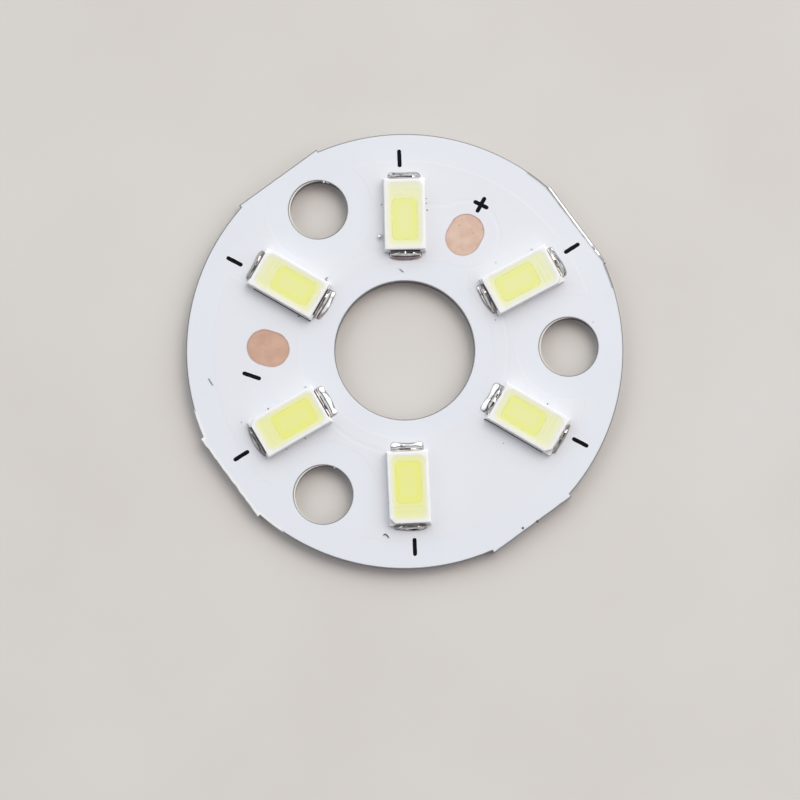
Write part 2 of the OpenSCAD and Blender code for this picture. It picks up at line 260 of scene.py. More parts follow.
def matt_table_top():
    """Matt stone-like laminate: pale and warm, with soft clouds."""
    made, tree, place = new_material("matt_table_top")
    clouds = add(tree, "TexNoise", {"Vector": place, "Scale": per_mm(18), "Detail": 3.0})
    tone = add(tree, "Mix", {0: clouds, MIX_A: "#d1cbc4", MIX_B: "#dcd8d3"}, **MIXED)
    return finished(made, {"Base Color": tone, "Roughness": 0.6, "IOR": 1.5})


floor_mesh = bpy.data.meshes.new("floor")
corners = [(x * FLOOR_HALF, y * FLOOR_HALF, -FLOOR_DROP) for x, y in ((-1, -1), (1, -1), (1, 1), (-1, 1))]
floor_mesh.from_pydata(corners, [], [(0, 1, 2, 3)])
floor = bpy.data.objects.new("floor", floor_mesh)
floor_mesh.materials.append(matt_table_top())
scene.collection.objects.link(floor)
print(f"floor {2 * FLOOR_HALF:.1f} m wide, just under the board")

# %% [markdown]
# ## Helpers for pieces
# Each new piece is a mesh that rides on the board's one body and is given its material. Mouldings and wetted
# surfaces are lofts: rings of points with equal counts, joined by faces from the first ring to the last. A
# rounded rectangle with one corner that can be cut is the only ring needed here.

# %% Piece helpers
WELD = 0.0001 * MM


def make_piece(name, mesh, material, matrix=None, replaced=None):
    """Put a mesh in the scene as a piece of the object."""
    piece = bpy.data.objects.new(name, mesh)
    if material.name not in mesh.materials:
        mesh.materials.append(material)
    if matrix:
        piece.matrix_world = matrix
    scene.collection.objects.link(piece)
    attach(piece, "root")
    if replaced:
        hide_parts(replaced)
    return piece


def mesh_from(name, build, smooth_below=None):
    """Run a building function on an empty bmesh. Edges flatter than an angle are shaded smooth."""
    made = bmesh.new()
    build(made)
    bmesh.ops.remove_doubles(made, verts=made.verts, dist=WELD)
    bmesh.ops.recalc_face_normals(made, faces=made.faces)
    if smooth_below is not None:
        for face in made.faces:
            face.smooth = True
        for edge in made.edges:
            edge.smooth = edge.is_manifold and edge.calc_face_angle() < smooth_below
    mesh = bpy.data.meshes.new(name)
    made.to_mesh(mesh)
    made.free()
    return mesh


def loft(made, rings):
    """Join rings of points with faces, and cap the first and the last."""
    rows = [[made.verts.new(point) for point in ring] for ring in rings]
    for low, high in zip(rows, rows[1:]):
        for k in range(len(low)):
            n = (k + 1) % len(low)
            made.faces.new((low[k], low[n], high[n], high[k]))
    made.faces.new(rows[0][::-1])
    made.faces.new(rows[-1])


def rounded_ring(half_l, half_w, radius, z, cut=0.0, steps=6):
    """Points of a rounded rectangle at height z. A cut takes off its +X, -Y corner in a straight line."""
    ring = []
    for side_x, side_y, start in ((1, 1, 0), (-1, 1, 90), (-1, -1, 180), (1, -1, 270)):
        for k in range(steps + 1):
            share = k / steps
            if cut and side_x > 0 > side_y:
                ring.append((half_l - cut * (1 - share), cut * share - half_w, z))
                continue
            turn = math.radians(start + 90 * share)
            x = side_x * (half_l - radius) + radius * math.cos(turn)
            y = side_y * (half_w - radius) + radius * math.sin(turn)
            ring.append((x, y, z))
    return ring


print("loft of", len(rounded_ring(1, 1, 0.1, 0)), "points to a ring")

# %% [markdown]
# ## Reading the frame
# The LEDs sit a little crooked, as reflowed parts do. The line from the middle of the anode lead to the
# middle of the cathode lead gives each one's direction, so a package can be drawn once, in its own frame, and
# placed six times. Its measures are read from the solids of the first LED in that frame.

# %% Measures of the LED
# Height within which points count as level, and distance within which they count as lying on an edge
SEAM = 0.002 * MM
ON_EDGE = 5 * SEAM


def node_middle(name):
    """Middle of the box round a CAD solid."""
    low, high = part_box(name)
    return (low + high) / 2


def led_matrix(led):
    """Frame of an LED: +X towards its cathode, origin under the middle of its housing."""
    along = node_middle(f"led_{led}_cathode_lead") - node_middle(f"led_{led}_anode_lead")
    origin = node_middle(f"led_{led}_housing")
    origin.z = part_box(f"led_{led}_housing")[0].z
    return Matrix.Translation(origin) @ Matrix.Rotation(math.atan2(along.y, along.x), 4, "Z")


def led_points(piece, led=1):
    """Corner points of a piece of an LED, in that LED's frame."""
    back = led_matrix(led).inverted()
    return np.array([back @ vertex.co for vertex in nodes[f"led_{led}_{piece}"].data.vertices])


housing = led_points("housing")
base_half_l, half_w, housing_h = housing.max(axis=0)
lead_end, lead_half_w, shelf_top = led_points("cathode_lead").max(axis=0)
top_face = housing[abs(housing[:, 2] - housing_h) < SEAM]
top_half_l, top_half_w, _ = top_face.max(axis=0)
within = (abs(top_face[:, 0]) < top_half_l - ON_EDGE) & (abs(top_face[:, 1]) < top_half_w - ON_EDGE)
window_half_l, window_half_w, _ = top_face[within].max(axis=0)
anode_lead = led_points("anode_lead")
anode_top = anode_lead[abs(anode_lead[:, 2] - shelf_top) < SEAM]
mouth = anode_top[abs(anode_top[:, 1]) < lead_half_w - ON_EDGE]
cup_low = mouth[:, 0].min()
cup_high, cup_half_w, _ = mouth.max(axis=0)
measures = {"housing": (base_half_l, half_w, housing_h), "window": (window_half_l, window_half_w),
            "cup": (cup_low, cup_high, cup_half_w), "lead": (lead_end, lead_half_w, shelf_top)}
for label, sizes in measures.items():
    print(f"{label}, mm:", [round(float(size) / MM, 3) for size in sizes])

# %% [markdown]
# ## LED housings
# The housing of a package of this kind is injection-moulded from white polyamide round a stamped lead frame.
# Its base stands a little proud of the upper part, where the two halves of the mould met. The walls above
# lean in, one corner is cut to mark the cathode, and every edge is slightly round. A bevelled copy of the CAD
# solid would round the edges unevenly, so the form is lofted from rings: up the base, over the ledge, up the
# wall, across the rim and down the reflector.

# %% Moulded polyamide
def moulded_polyamide():
    """Heat-proof white polyamide: filled with pigment, so a soft, even white with a low satin gloss."""
    made, tree, place = new_material("moulded_white_polyamide")
    cloud = add(tree, "TexNoise", {"Vector": place, "Scale": per_mm(0.7), "Detail": 3.0})
    tone = add(tree, "Mix", {0: cloud, MIX_A: "#f1f0ec", MIX_B: "#f8f8f5"}, **MIXED)
    # The mould's grain is finer, and is drawn coarser so that it shows
    grain = add(tree, "TexNoise", {"Vector": place, "Scale": per_mm(0.06)})
    bump = add(tree, "Bump", {"Height": grain, "Strength": 0.15, "Distance": 0.004 * MM})
    return finished(made, {"Base Color": tone, "Normal": bump, "Roughness": 0.42, "IOR": 1.53,
                           "Subsurface Weight": 0.4, "Subsurface Scale": 0.25 * MM,
                           "Subsurface Radius": (1, 1, 1)})


polyamide = moulded_polyamide()

# %% Housing mesh
MOULD_EDGE = 0.045 * MM
SMALL_EDGE = MOULD_EDGE / 2
BASE_CORNER = 0.05 * MM
CATHODE_CUT = 0.4 * MM
LEDGE_END = 0.1 * MM
LEDGE_SIDE = 0.035 * MM
# Share of the base's rounding that its long sides have, where the ledge is narrow
LEDGE_SHARE = 0.5
WALL_LEAN = 0.01 * MM
WINDOW_CORNER = 0.4 * MM
REFLECTOR_SLOPE = math.radians(25)
EDGE_STEPS = 4
SMOOTH_BELOW = math.radians(35)


def reflector_inset(z):
    """How far the reflector's wall lies inside the window at height z."""
    return (housing_h - z) * math.tan(REFLECTOR_SLOPE)


def edge_arc(radius):
    """Inset and drop of the points over a rounded edge, from the wall to the flat."""
    for k in range(EDGE_STEPS + 1):
        turn = math.radians(90 * k / EDGE_STEPS)
        yield radius * (1 - math.cos(turn)), radius * (1 - math.sin(turn))


def build_housing(made):
    """Draw one moulding, from the foot of its base to the foot of its reflector."""
    rings = [rounded_ring(base_half_l, half_w, BASE_CORNER, 0, cut=BASE_CORNER)]
    for inset, drop in edge_arc(SMALL_EDGE):
        rings.append(rounded_ring(base_half_l - inset, half_w - inset * LEDGE_SHARE, BASE_CORNER,
                                  shelf_top - drop, cut=BASE_CORNER))
    wall_l = base_half_l - LEDGE_END
    wall_w = half_w - LEDGE_SIDE
    rings.append(rounded_ring(wall_l, wall_w, BASE_CORNER, shelf_top, cut=CATHODE_CUT))
    for inset, drop in edge_arc(MOULD_EDGE):
        rings.append(rounded_ring(wall_l - WALL_LEAN - inset, wall_w - WALL_LEAN - inset, BASE_CORNER + inset,
                                  housing_h - drop, cut=CATHODE_CUT))
    for inset, drop in reversed(list(edge_arc(SMALL_EDGE))):
        rings.append(rounded_ring(window_half_l + inset, window_half_w + inset, WINDOW_CORNER,
                                  housing_h - drop))
    foot = reflector_inset(shelf_top)
    rings.append(rounded_ring(window_half_l - foot, window_half_w - foot, WINDOW_CORNER - foot, shelf_top))
    loft(made, rings)


housing_mesh = mesh_from("led_moulding", build_housing, SMOOTH_BELOW)
for led in LEDS:
    make_piece(f"led_{led}_moulding", housing_mesh, polyamide, led_matrix(led),
               f"led_{led}_housing")
print(f"{len(LEDS)} housings of {len(housing_mesh.polygons)} faces")

# %% [markdown]
# ## Silicone
# The reflector is filled with clear silicone in which a yellow phosphor powder floats. The liquid creeps up
# the wall before it cures, so its surface is hollow like water in a glass. Where it is deep, over the stamped
# cup, the yellow is strong, and over the sloping wall it thins out to white. A volume shader could give that,
# but it is slow and the exported model would lose it. The depth is known from the plan, so the colour follows
# the distance from the edge of the cup and from the edge of the window.

# %% Phosphor silicone
CUP_CORNER = 0.35 * MM
CUP_SHIFT = -0.08 * MM
# Colours from inside the cup outwards, by distance from its edge in millimetres
CUP_BANDS = ((-0.75, "#eff0aa"), (-0.34, "#eff0a4"), (-0.17, "#f0f28e"), (-0.06, "#f0f296"), (0, "#eaebae"),
             (0.05, "#eff1b6"), (0.3, "#f0f1c2"), (1, "#eff0cb"))
# Share of the white wall that shows through, by distance from the window's edge in millimetres
WALL_BANDS = ((-0.36, 0.0), (-0.18, 0.06), (-0.07, 0.24), (0, 0.5), (0.05, 0.75))
# Places of the two lead edges that show through near the cathode, their width and how strongly they show
LEAD_EDGES = (1.42 * MM, 1.75 * MM)
LEAD_EDGE_W = 0.12 * MM
LEAD_EDGE_SHARE = 0.3
# The cup's rim shows as a thin line, just outside the strong yellow
CUP_LINE = 0.05 * MM
CUP_LINE_W = 0.05 * MM
CUP_LINE_SHARE = 0.55
# How far the powder drifted while the silicone was liquid
POWDER_DRIFT = 0.22 * MM


def rounded_distance(tree, place, centre, half_l, half_w, radius):
    """Distance in plan from the edge of a rounded rectangle, negative inside it."""
    flat = add(tree, "VectorMath", {0: place, 1: IN_PLAN}, operation="MULTIPLY")
    away = add(tree, "VectorMath", {0: flat, 1: (centre, 0, 0)}, operation="SUBTRACT")
    away = add(tree, "VectorMath", {0: away}, operation="ABSOLUTE")
    core = (half_l - radius, half_w - radius, 0)
    away = add(tree, "VectorMath", {0: away, 1: core}, operation="SUBTRACT")
    outside = add(tree, "VectorMath", {0: away, 1: (0, 0, 0)}, operation="MAXIMUM")
    outside = add(tree, "VectorMath", {0: outside}, operation="LENGTH", out="Value")
    along, across = [add(tree, "SeparateXYZ", {0: away}, out=axis) for axis in "XY"]
    inside = add(tree, "Math", {0: along, 1: across}, operation="MAXIMUM")
    inside = add(tree, "Math", {0: inside, 1: 0.0}, operation="MINIMUM")
    edge = add(tree, "Math", {0: outside, 1: inside}, operation="ADD")
    return add(tree, "Math", {0: edge, 1: radius}, operation="SUBTRACT")


def banded(tree, distance, bands):
    """Colour by distance, from bands of places in millimetres and their colours."""
    low, high = bands[0][0], bands[-1][0]
    share = add(tree, "MapRange", {"Value": distance, "From Min": low * MM, "From Max": high * MM})
    return add(tree, "ValToRGB", {0: share}, [((at - low) / (high - low), colour) for at, colour in bands])


def phosphor_silicone():
    """Silicone gel with cerium-doped garnet powder: wet gloss over a body of pale greenish yellow."""
    made, tree, place = new_material("phosphor_silicone")
    drift = add(tree, "TexNoise", {"Vector": apart(tree, place), "Scale": per_mm(0.45)})
    patches = add(tree, "MapRange", {"Value": drift, "From Min": 0.4, "From Max": 0.55})
    drift = add(tree, "Math", {0: drift, 1: POWDER_DRIFT, 2: -POWDER_DRIFT / 2}, operation="MULTIPLY_ADD")
    cup_middle = (cup_low + cup_high) / 2 + CUP_SHIFT
    cup_half_l = (cup_high - cup_low) / 2
    from_cup = rounded_distance(tree, place, cup_middle, cup_half_l, cup_half_w, CUP_CORNER)
    from_cup = add(tree, "Math", {0: from_cup, 1: drift}, operation="ADD")
    body = banded(tree, from_cup, CUP_BANDS)
    along = add(tree, "SeparateXYZ", {0: place}, out="X")
    edges = [(along, edge, LEAD_EDGE_W, LEAD_EDGE_SHARE, "#e2e296") for edge in LEAD_EDGES]
    edges.append((from_cup, CUP_LINE, CUP_LINE_W, CUP_LINE_SHARE, "#d6d0a8"))
    for across, edge, width, most, colour in edges:
        off = add(tree, "Math", {0: across, 1: edge}, operation="SUBTRACT")
        off = add(tree, "Math", {0: off}, operation="ABSOLUTE")
        near = add(tree, "MapRange", {"Value": off, "From Max": width, "To Min": most, "To Max": 0.0})
        near = add(tree, "Math", {0: near, 1: patches}, operation="MULTIPLY")
        body = add(tree, "Mix", {0: near, MIX_A: body, MIX_B: colour}, **MIXED)
    dose = add(tree, "ObjectInfo", out="Color")
    body = add(tree, "Mix", {0: dose, MIX_A: body, MIX_B: "#eded50"}, **MIXED)
    from_wall = rounded_distance(tree, place, 0, window_half_l, window_half_w, WINDOW_CORNER)
    wall = banded(tree, from_wall, [(at, grey(level)) for at, level in WALL_BANDS])
    tone = add(tree, "Mix", {0: wall, MIX_A: body, MIX_B: "#f4f4ee"}, **MIXED)
    # The powder's grains are finer, and are drawn coarser so that they show
    powder = add(tree, "TexNoise", {"Vector": place, "Scale": per_mm(0.09)})
    bump = add(tree, "Bump", {"Height": powder, "Strength": 0.1, "Distance": 0.003 * MM})
    return finished(made, {"Base Color": tone, "Normal": bump, "Roughness": 0.18, "IOR": 1.42})


silicone = phosphor_silicone()

# %% Silicone mesh
HOLLOW = 0.02 * MM
HOLLOW_REACH = 0.5 * MM
HOLLOW_RINGS = 8
WETTED_RIM = 0.02 * MM
WALL_GAP = 0.002 * MM
# Extra phosphor in each LED, as a share of a strong yellow
DOSES = (0, 0, 0.04, 0.25, 0.24, 0.1)


def build_silicone(made):
    """Draw one filling, from the foot of the reflector to the hollow of its surface."""
    foot = reflector_inset(shelf_top) + WALL_GAP
    rings = [rounded_ring(window_half_l - foot, window_half_w - foot, WINDOW_CORNER - foot,
                          shelf_top + WALL_GAP)]
    for k in range(HOLLOW_RINGS + 1):
        share = k / HOLLOW_RINGS
        inset = HOLLOW_REACH * share - WETTED_RIM
        sink = HOLLOW * (1 - (1 - share) ** 2)
        radius = max(WINDOW_CORNER - inset, BASE_CORNER)
        rings.append(rounded_ring(window_half_l - inset, window_half_w - inset, radius, housing_h - sink))
    loft(made, rings)


silicone_mesh = mesh_from("led_silicone", build_silicone, SMOOTH_BELOW)
for led, dose in zip(LEDS, DOSES):
    filling = make_piece(f"led_{led}_silicone", silicone_mesh, silicone, led_matrix(led),
                         f"led_{led}_phosphor")
    filling.color = grey(dose)
print(f"{len(LEDS)} fillings of {len(silicone_mesh.polygons)} faces")

# %% [markdown]
# ## Solder fillets
# Molten solder wets the copper land and climbs the lead, then freezes as a hollow slope. The land is bounded
# by the lacquer, so at its edge the solder ends in a small round lip. The slope is what matters to the eye:
# from the lead outwards it mirrors first the white board, then the dark horizon, then the bright room, and
# last the dark ceiling. A revolved or lofted slope would make twelve equal joints. Here each one is a height
# field over its land, closed by a skirt and a base, and its edge follows a smooth curve through five measures
# of how far the solder spread.

# %% Tin solder
def reflowed_solder():
    """Tin alloy frozen from the melt: silvery metal, frosted by its crystals, with patches of brown flux."""
    made, tree, place = new_material("reflowed_tin_solder")
    place = apart(tree, place)
    # Tin's crystals are finer, and are drawn coarser so that they show
    frost = add(tree, "TexNoise", {"Vector": place, "Scale": per_mm(0.12), "Detail": 4.0})
    rough = add(tree, "MapRange", {"Value": frost, "To Min": 0.03, "To Max": 0.14})
    stain = add(tree, "TexNoise", {"Vector": place, "Scale": per_mm(0.4), "Detail": 3.0})
    tone = add(tree, "ValToRGB", {0: stain}, [(0.3, "#8f857f"), (0.46, "#e6e4e0")])
    bump = add(tree, "Bump", {"Height": frost, "Strength": 0.12, "Distance": 0.006 * MM})
    return finished(made, {"Base Color": tone, "Roughness": rough, "Normal": bump, "Metallic": 1.0})


solder = reflowed_solder()

# %% Shape of a joint
FILLET_CLIMB = 0.33 * MM
FILLET_LIP = 0.09 * MM
FOOT_GAP = 0.004 * MM
# Powers of the hollow slope and of the round lip, at the land's end and at its sides
FILLET_SLOPE = 3.0
LIP_SHARPNESS = 4
SIDE_SHARPNESS = 7
# Share by which the solder climbs less beside the lead's middle, and the power by which that grows
CLIMB_DROP = 0.45
DROP_SHARPNESS = 3
# Share by which a joint stands higher on one of its sides, and the step that sets the joints apart
CLIMB_TILT = 0.12
TILT_STEP = 2.1
# How far each joint's edge lies back from the end of its land, in millimetres, at five places across it: for
# each LED at its anode, then at its cathode, from left to right when looking outwards
EDGE_PLACES = (-1, -0.5, 0, 0.5, 1)
JOINT_EDGES = {
    -1: ((0.2, 0.07, 0.04, 0.07, 0.22), (0.18, 0.15, 0.13, 0.2, 0.38), (-0.08, -0.03, 0, -0.06, -0.05),
         (0, 0.1, 0.11, 0.06, -0.02), (-0.04, 0.02, -0.06, 0, -0.06), (0.12, 0.04, -0.03, 0.04, 0.02)),
    1: ((0.1, 0.05, 0.06, 0.05, 0.03), (0.05, -0.02, 0, 0.08, 0.05), (0.26, 0.26, 0.22, 0.25, 0.36),
        (0.2, 0.14, 0.07, 0.08, 0.2), (0.38, 0.2, 0.13, 0.18, 0.36), (0.2, 0.13, 0.17, 0.18, 0.2))}
copper_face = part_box("copper_positive")[1].z
led_floor = led_matrix(1).translation.z
board_z = board_top - led_floor
copper_z = copper_face - led_floor


def joint_shape(led, side, outer):
    """Function that draws a point of a land, given along the LED and as share across, back with the joint."""
    back = np.poly1d(np.polyfit(EDGE_PLACES, JOINT_EDGES[side][led - 1], len(EDGE_PLACES) - 1)) * MM

    def drawn_back(x, y_share):
        past = max(0, x - lead_end)
        return x - past * back(side * y_share) / (outer - lead_end)
    return drawn_back


def fillet_height(x_share, y_share, seed):
    """Height of a fillet over its land: climbs towards the lead, ends in a round lip."""
    climb = FILLET_CLIMB * (1 - CLIMB_DROP * abs(y_share) ** DROP_SHARPNESS)
    climb *= 1 + CLIMB_TILT * math.sin(seed * TILT_STEP) * y_share
    slope = (climb - board_z) * (1 - x_share) ** FILLET_SLOPE
    lip = FILLET_LIP * (1 - x_share ** LIP_SHARPNESS)
    side = 1 - abs(y_share) ** SIDE_SHARPNESS
    return board_z - FOOT_GAP + (slope + lip) * side


print(f"{sum(len(edges) for edges in JOINT_EDGES.values())} joints with an outline of their own")

# %% Fillet mesh
LAND_CORNER = 0.25 * MM
FILLET_ROWS = 24
FILLET_COLUMNS = 18
# Depth and length of the ripples, the power by which they fade to the sides, and the step between joints
RIPPLE_DEPTH = 0.04 * MM
RIPPLE = 0.45 * MM
RIPPLE_FADE = 8
RIPPLE_STEP = 7.3
SEEDS_BETWEEN_SIDES = 10


def build_fillet(led, side, inner, outer, half):
    """Function that draws a joint at one end of a package. Side is 1 at the cathode, -1 at the anode."""
    seed = led + SEEDS_BETWEEN_SIDES * side
    drawn_back = joint_shape(led, side, outer)

    def half_at(x):
        """Half the land's width, which its outer corners round off."""
        over = max(0, x - (outer - LAND_CORNER))
        return half - LAND_CORNER + math.sqrt(max(LAND_CORNER ** 2 - over ** 2, 0))

    def height_at(x, y, share, y_share):
        """Height of the solder, level under the package, where there is no share of the slope."""
        if share is None:
            return -FOOT_GAP
        wave = noise.noise(Vector((x / RIPPLE, y / RIPPLE, seed * RIPPLE_STEP)))
        fade = (1 - share) * (1 - y_share ** RIPPLE_FADE)
        return fillet_height(share, y_share, seed) + wave * fade * RIPPLE_DEPTH

    def build(made):
        columns = [(inner, None), (base_half_l, None), (base_half_l, 0), (lead_end, 0)]
        for k in range(1, FILLET_COLUMNS + 1):
            share = math.sin(math.pi / 2 * k / FILLET_COLUMNS)
            columns.append((lead_end + (outer - lead_end) * share, share))
        grid = []
        for x, share in columns:
            line = []
            for k in range(FILLET_ROWS + 1):
                y_share = math.sin(math.pi / 2 * (2 * k / FILLET_ROWS - 1))
                y = y_share * half_at(x)
                point = (side * drawn_back(x, y_share), y, height_at(x, y, share, y_share))
                line.append(made.verts.new(point))
            grid.append(line)
        for left, right in zip(grid, grid[1:]):
            for k in range(FILLET_ROWS):
                made.faces.new((left[k], right[k], right[k + 1], left[k + 1]))
        rim = [line[0] for line in grid] + grid[-1][1:]
        rim += [line[-1] for line in grid[-2::-1]] + grid[0][-2:0:-1]
        base = [made.verts.new((vertex.co.x, vertex.co.y, copper_z)) for vertex in rim]
        for k in range(len(rim)):
            n = (k + 1) % len(rim)
            made.faces.new((rim[k], base[k], base[n], rim[n]))
        made.faces.new(base)
    return build


for led in LEDS:
    for side, end in ((1, "cathode"), (-1, "anode")):
        points = led_points(f"{end}_solder", led)
        reach = side * points[:, 0]
        build = build_fillet(led, side, reach.min(), reach.max(), points[:, 1].max())
        name = f"led_{led}_{end}_fillet"
        mesh = mesh_from(name, build, SMOOTH_BELOW)
        make_piece(name, mesh, solder, led_matrix(led), f"led_{led}_{end}_solder")
print(f"{2 * len(LEDS)} fillets")

# %% [markdown]
# ## Solder mask
# A white lacquer is printed over the etched copper and cured. It is only a few hundredths of a millimetre
# thick, so the copper shows through it as a faint warm tint. Heat has stained it brown round the wire pads.
# Its cut edges carry painted shade, a dark line, and the lands a darker line; along one flat a painted
# highlight whitens the edge. A texture could not know where those places are, so the sheet's points carry the
# amounts, and the material mixes its colours by them.

# %% White lacquer
def white_lacquer():
    """Two-part epoxy lacquer with titanium white: slightly bluish white, satin, with a fine orange peel."""
    made, tree, place = new_material("white_epoxy_lacquer")
    # Painted shade and painted highlight: the edge attribute mixes edges towards dark grey, and where it is
    # negative, along one flat, towards bright white
    copper, edge_shade_and_highlight, stain = [add(tree, "Attribute", attribute_name=name, out="Fac")
                           for name in ("copper", "edge_shade_and_highlight", "stain")]
    edge_highlight = add(tree, "Math", {0: edge_shade_and_highlight, 1: -1.0}, operation="MULTIPLY")
    cloud = add(tree, "TexNoise", {"Vector": place, "Scale": per_mm(5), "Detail": 4.0})
    cloud = add(tree, "MapRange", {"Value": cloud, "To Max": 0.5})
    fleck = add(tree, "TexNoise", {"Vector": place, "Scale": per_mm(0.22)})
    fleck = add(tree, "MapRange", {"Value": fleck, "From Min": 0.66, "From Max": 0.8, "To Max": 0.25})
    tone = "#e7eaee"
    for share, colour in ((copper, "#e8e9ed"), (cloud, "#dde1e7"), (fleck, "#c9ced8"), (edge_shade_and_highlight, "#48423f"),
                          (edge_highlight, "#fbfaf8"), (stain, "#a8705e")):
        tone = add(tree, "Mix", {0: share, MIX_A: tone, MIX_B: colour}, **MIXED)
    peel = add(tree, "TexNoise", {"Vector": place, "Scale": per_mm(0.35)})
    bump = add(tree, "Bump", {"Height": peel, "Strength": 0.2, "Distance": 0.01 * MM})
    return finished(made, {"Base Color": tone, "Normal": bump, "Roughness": 0.36, "IOR": 1.5})


lacquer = white_lacquer()

# %% [markdown]
# ## Outlines of copper and lacquer
# The CAD solids hold the true outlines, as edges of their level faces. An edge that only one of those faces
# uses bounds the outline, and following such edges from end to start gives closed loops. Tools that work on
# loops then move one sideways, and tell how far a point lies from a loop and whether it lies inside.

# %% Outlines from level faces
# Points are the same when they agree in whole steps of a ten-thousandth of a millimetre
STEPS_PER_METRE = 1e7
# Least upward part of the normal of a level face
LEVEL = 0.99


def outer_edges(loops):
    """Edges that only one of some loops of keys uses, in that loop's direction."""
    found = set()
    for loop in loops:
        for edge in zip(loop, loop[1:] + loop[:1]):
            if edge[::-1] in found:
                found.remove(edge[::-1])
            else:
                found.add(edge)
    return sorted(found)


def level_outlines(node, z):
    """Closed outlines of a node's faces that lie level at height z, with the solid on their left."""
    mesh = nodes[node].data
    keys = [tuple(round(c * STEPS_PER_METRE) for c in vertex.co.xy) for vertex in mesh.vertices]
    level = [face for face in mesh.polygons if face.normal.z > LEVEL and abs(face.center.z - z) < SEAM]
    follow = dict(outer_edges([[keys[v] for v in face.vertices] for face in level]))
    led_to = set(follow.values())
    outlines = []
    while follow:
        start = next((key for key in follow if key not in led_to), next(iter(follow)))
        outline = [start]
        here = follow.pop(start)
        while here in follow:
            outline.append(here)
            here = follow.pop(here)
        # A lost edge leaves a chain open at its ends, and the outline is closed there
        outlines.append(np.array(outline if here == start else outline + [here]) / STEPS_PER_METRE)
    return outlines


copper_nodes = [name for name in nodes if name.startswith("copper_")]
copper_outlines = [outline for name in copper_nodes for outline in level_outlines(name, copper_face)]
mask_outlines = level_outlines("solder_mask", board_top)
print(f"{len(copper_outlines)} outlines of copper, {len(mask_outlines)} of lacquer")

# %% Tools for outlines
# Least divisor of a mitre, which keeps sharp corners from running away
MITRE_LEAST = 0.5
# Least squared length of an edge
SQUARE_LEAST = 1e-18


def moved_in(outline, distance):
    """An outline moved to its left, into the solid, with mitred corners."""
    def left(step):
        normal = np.stack((-step[:, 1], step[:, 0]), axis=1)
        return normal / np.linalg.norm(normal, axis=1, keepdims=True)

    before = left(outline - np.roll(outline, 1, axis=0))
    after = left(np.roll(outline, -1, axis=0) - outline)
    mitre = before + after
    mitre /= np.maximum((mitre ** 2).sum(axis=1, keepdims=True) / 2, MITRE_LEAST)
    return outline + distance * mitre


def divided(outline, step):
    """An outline with points added so that none of its edges is longer than a step."""
    dense = []
    for start, end in zip(outline, np.roll(outline, -1, axis=0)):
        count = math.ceil(np.hypot(*(end - start)) / step)
        dense += [start + (end - start) * k / count for k in range(count)]
    return np.array(dense)


def edges_of(outlines):
    """Start and end points of all edges of some outlines."""
    starts = np.concatenate(outlines)
    ends = np.concatenate([np.roll(outline, -1, axis=0) for outline in outlines])
    return starts, ends


def edge_distance(points, outlines):
    """Distance of each point from the nearest edge of some outlines."""
    nearest = np.full(len(points), np.inf)
    for start, end in zip(*edges_of(outlines)):
        step = end - start
        share = np.clip(((points - start) @ step) / max(step @ step, SQUARE_LEAST), 0, 1)
        gap = points - start - share[:, None] * step
        nearest = np.minimum(nearest, np.hypot(gap[:, 0], gap[:, 1]))
    return nearest


def lies_inside(points, outlines):
    """Whether each point has an odd number of edges to its right."""
    crossings = np.zeros(len(points), int)
    for (x1, y1), (x2, y2) in zip(*edges_of(outlines)):
        if y1 != y2:
            spans = (points[:, 1] < y1) != (points[:, 1] < y2)
            crossings += spans & (points[:, 0] < x1 + (points[:, 1] - y1) * (x2 - x1) / (y2 - y1))
    return crossings % 2 == 1


def outline_middle(outline):
    """Middle of the box round an outline."""
    return (outline.min(axis=0) + outline.max(axis=0)) / 2


def least_reach(outline):
    """Shortest distance from the middle of an outline to its points."""
    return np.hypot(*(outline - outline_middle(outline)).T).min()


reaches = {round(float(least_reach(outline)) / MM, 1) for outline in mask_outlines}
print("least reach of the lacquer's outlines, mm:", sorted(reaches))

# %% [markdown]
# ## Worn edges of the lacquer
# The lacquer's edges are not where the drawing has them. Boards of this kind are snapped out of a panel, and
# along the flats the lacquer tore, so it stands back or over there. At the screw holes the punch pushed it to
# one side. At the lands it ends with the solder, so it follows the curve of each joint, and at the wire pads
# it ran a little over the copper. The size of an outline tells which of these it is.

# %% Worn outlines
# Least reach of a cut edge, most reach of a land's opening, and least reach of the rim
BIG_HOLE = 1.5 * MM
SMALL_OPENING = 1.3 * MM
RIM_LEAST = 15 * MM
PUNCH_SHIFT = np.array((-0.11, 0.02)) * MM
LACQUER_BLEED = 0.07 * MM
BLEED_SIZE = 0.4 * MM
JOINT_STEP = 0.1 * MM
# Directions of the four flats, and in millimetres the lacquer's set-back at both ends of each and its
# raggedness
FLAT_BEARINGS = (35, 125, 215, 305)
FLAT_TEARS = ((0, 0.11, 0.035), (-0.1, -0.1, 0.015), (-0.14, -0.1, 0.06), (-0.13, -0.13, 0.02))
TORN_STEP = 0.15 * MM
TORN_SIZE = 0.55 * MM
# Roughness, gap between octaves and number of octaves of the tear's noise
TORN_NOISE = (1, 2, 3)


def flat_way(bearing):
    """Direction in plan, as two numbers, at a bearing in degrees from +X."""
    return np.array((math.cos(math.radians(bearing)), math.sin(math.radians(bearing))))


def torn(outline):
    """The board's rim, with the lacquer set back or left over along the flats, and ragged there."""
    outline = divided(outline, TORN_STEP)
    for bearing, tears in zip(FLAT_BEARINGS, FLAT_TEARS):
        set_back_low, set_back_high, ragged = np.array(tears) * MM
        out = flat_way(bearing)
        reach = outline @ out
        on_flat = np.flatnonzero(reach > reach.max() - SEAM)
        along = outline[on_flat] @ np.array((-out[1], out[0]))
        back = np.interp(along, (along.min(), along.max()), (set_back_low, set_back_high))
        places = [Vector((a / TORN_SIZE, bearing, 0)) for a in along.tolist()]
        wave = np.array([noise.fractal(place, *TORN_NOISE) for place in places])
        outline[on_flat] -= (back + ragged * wave)[:, None] * out
    return outline


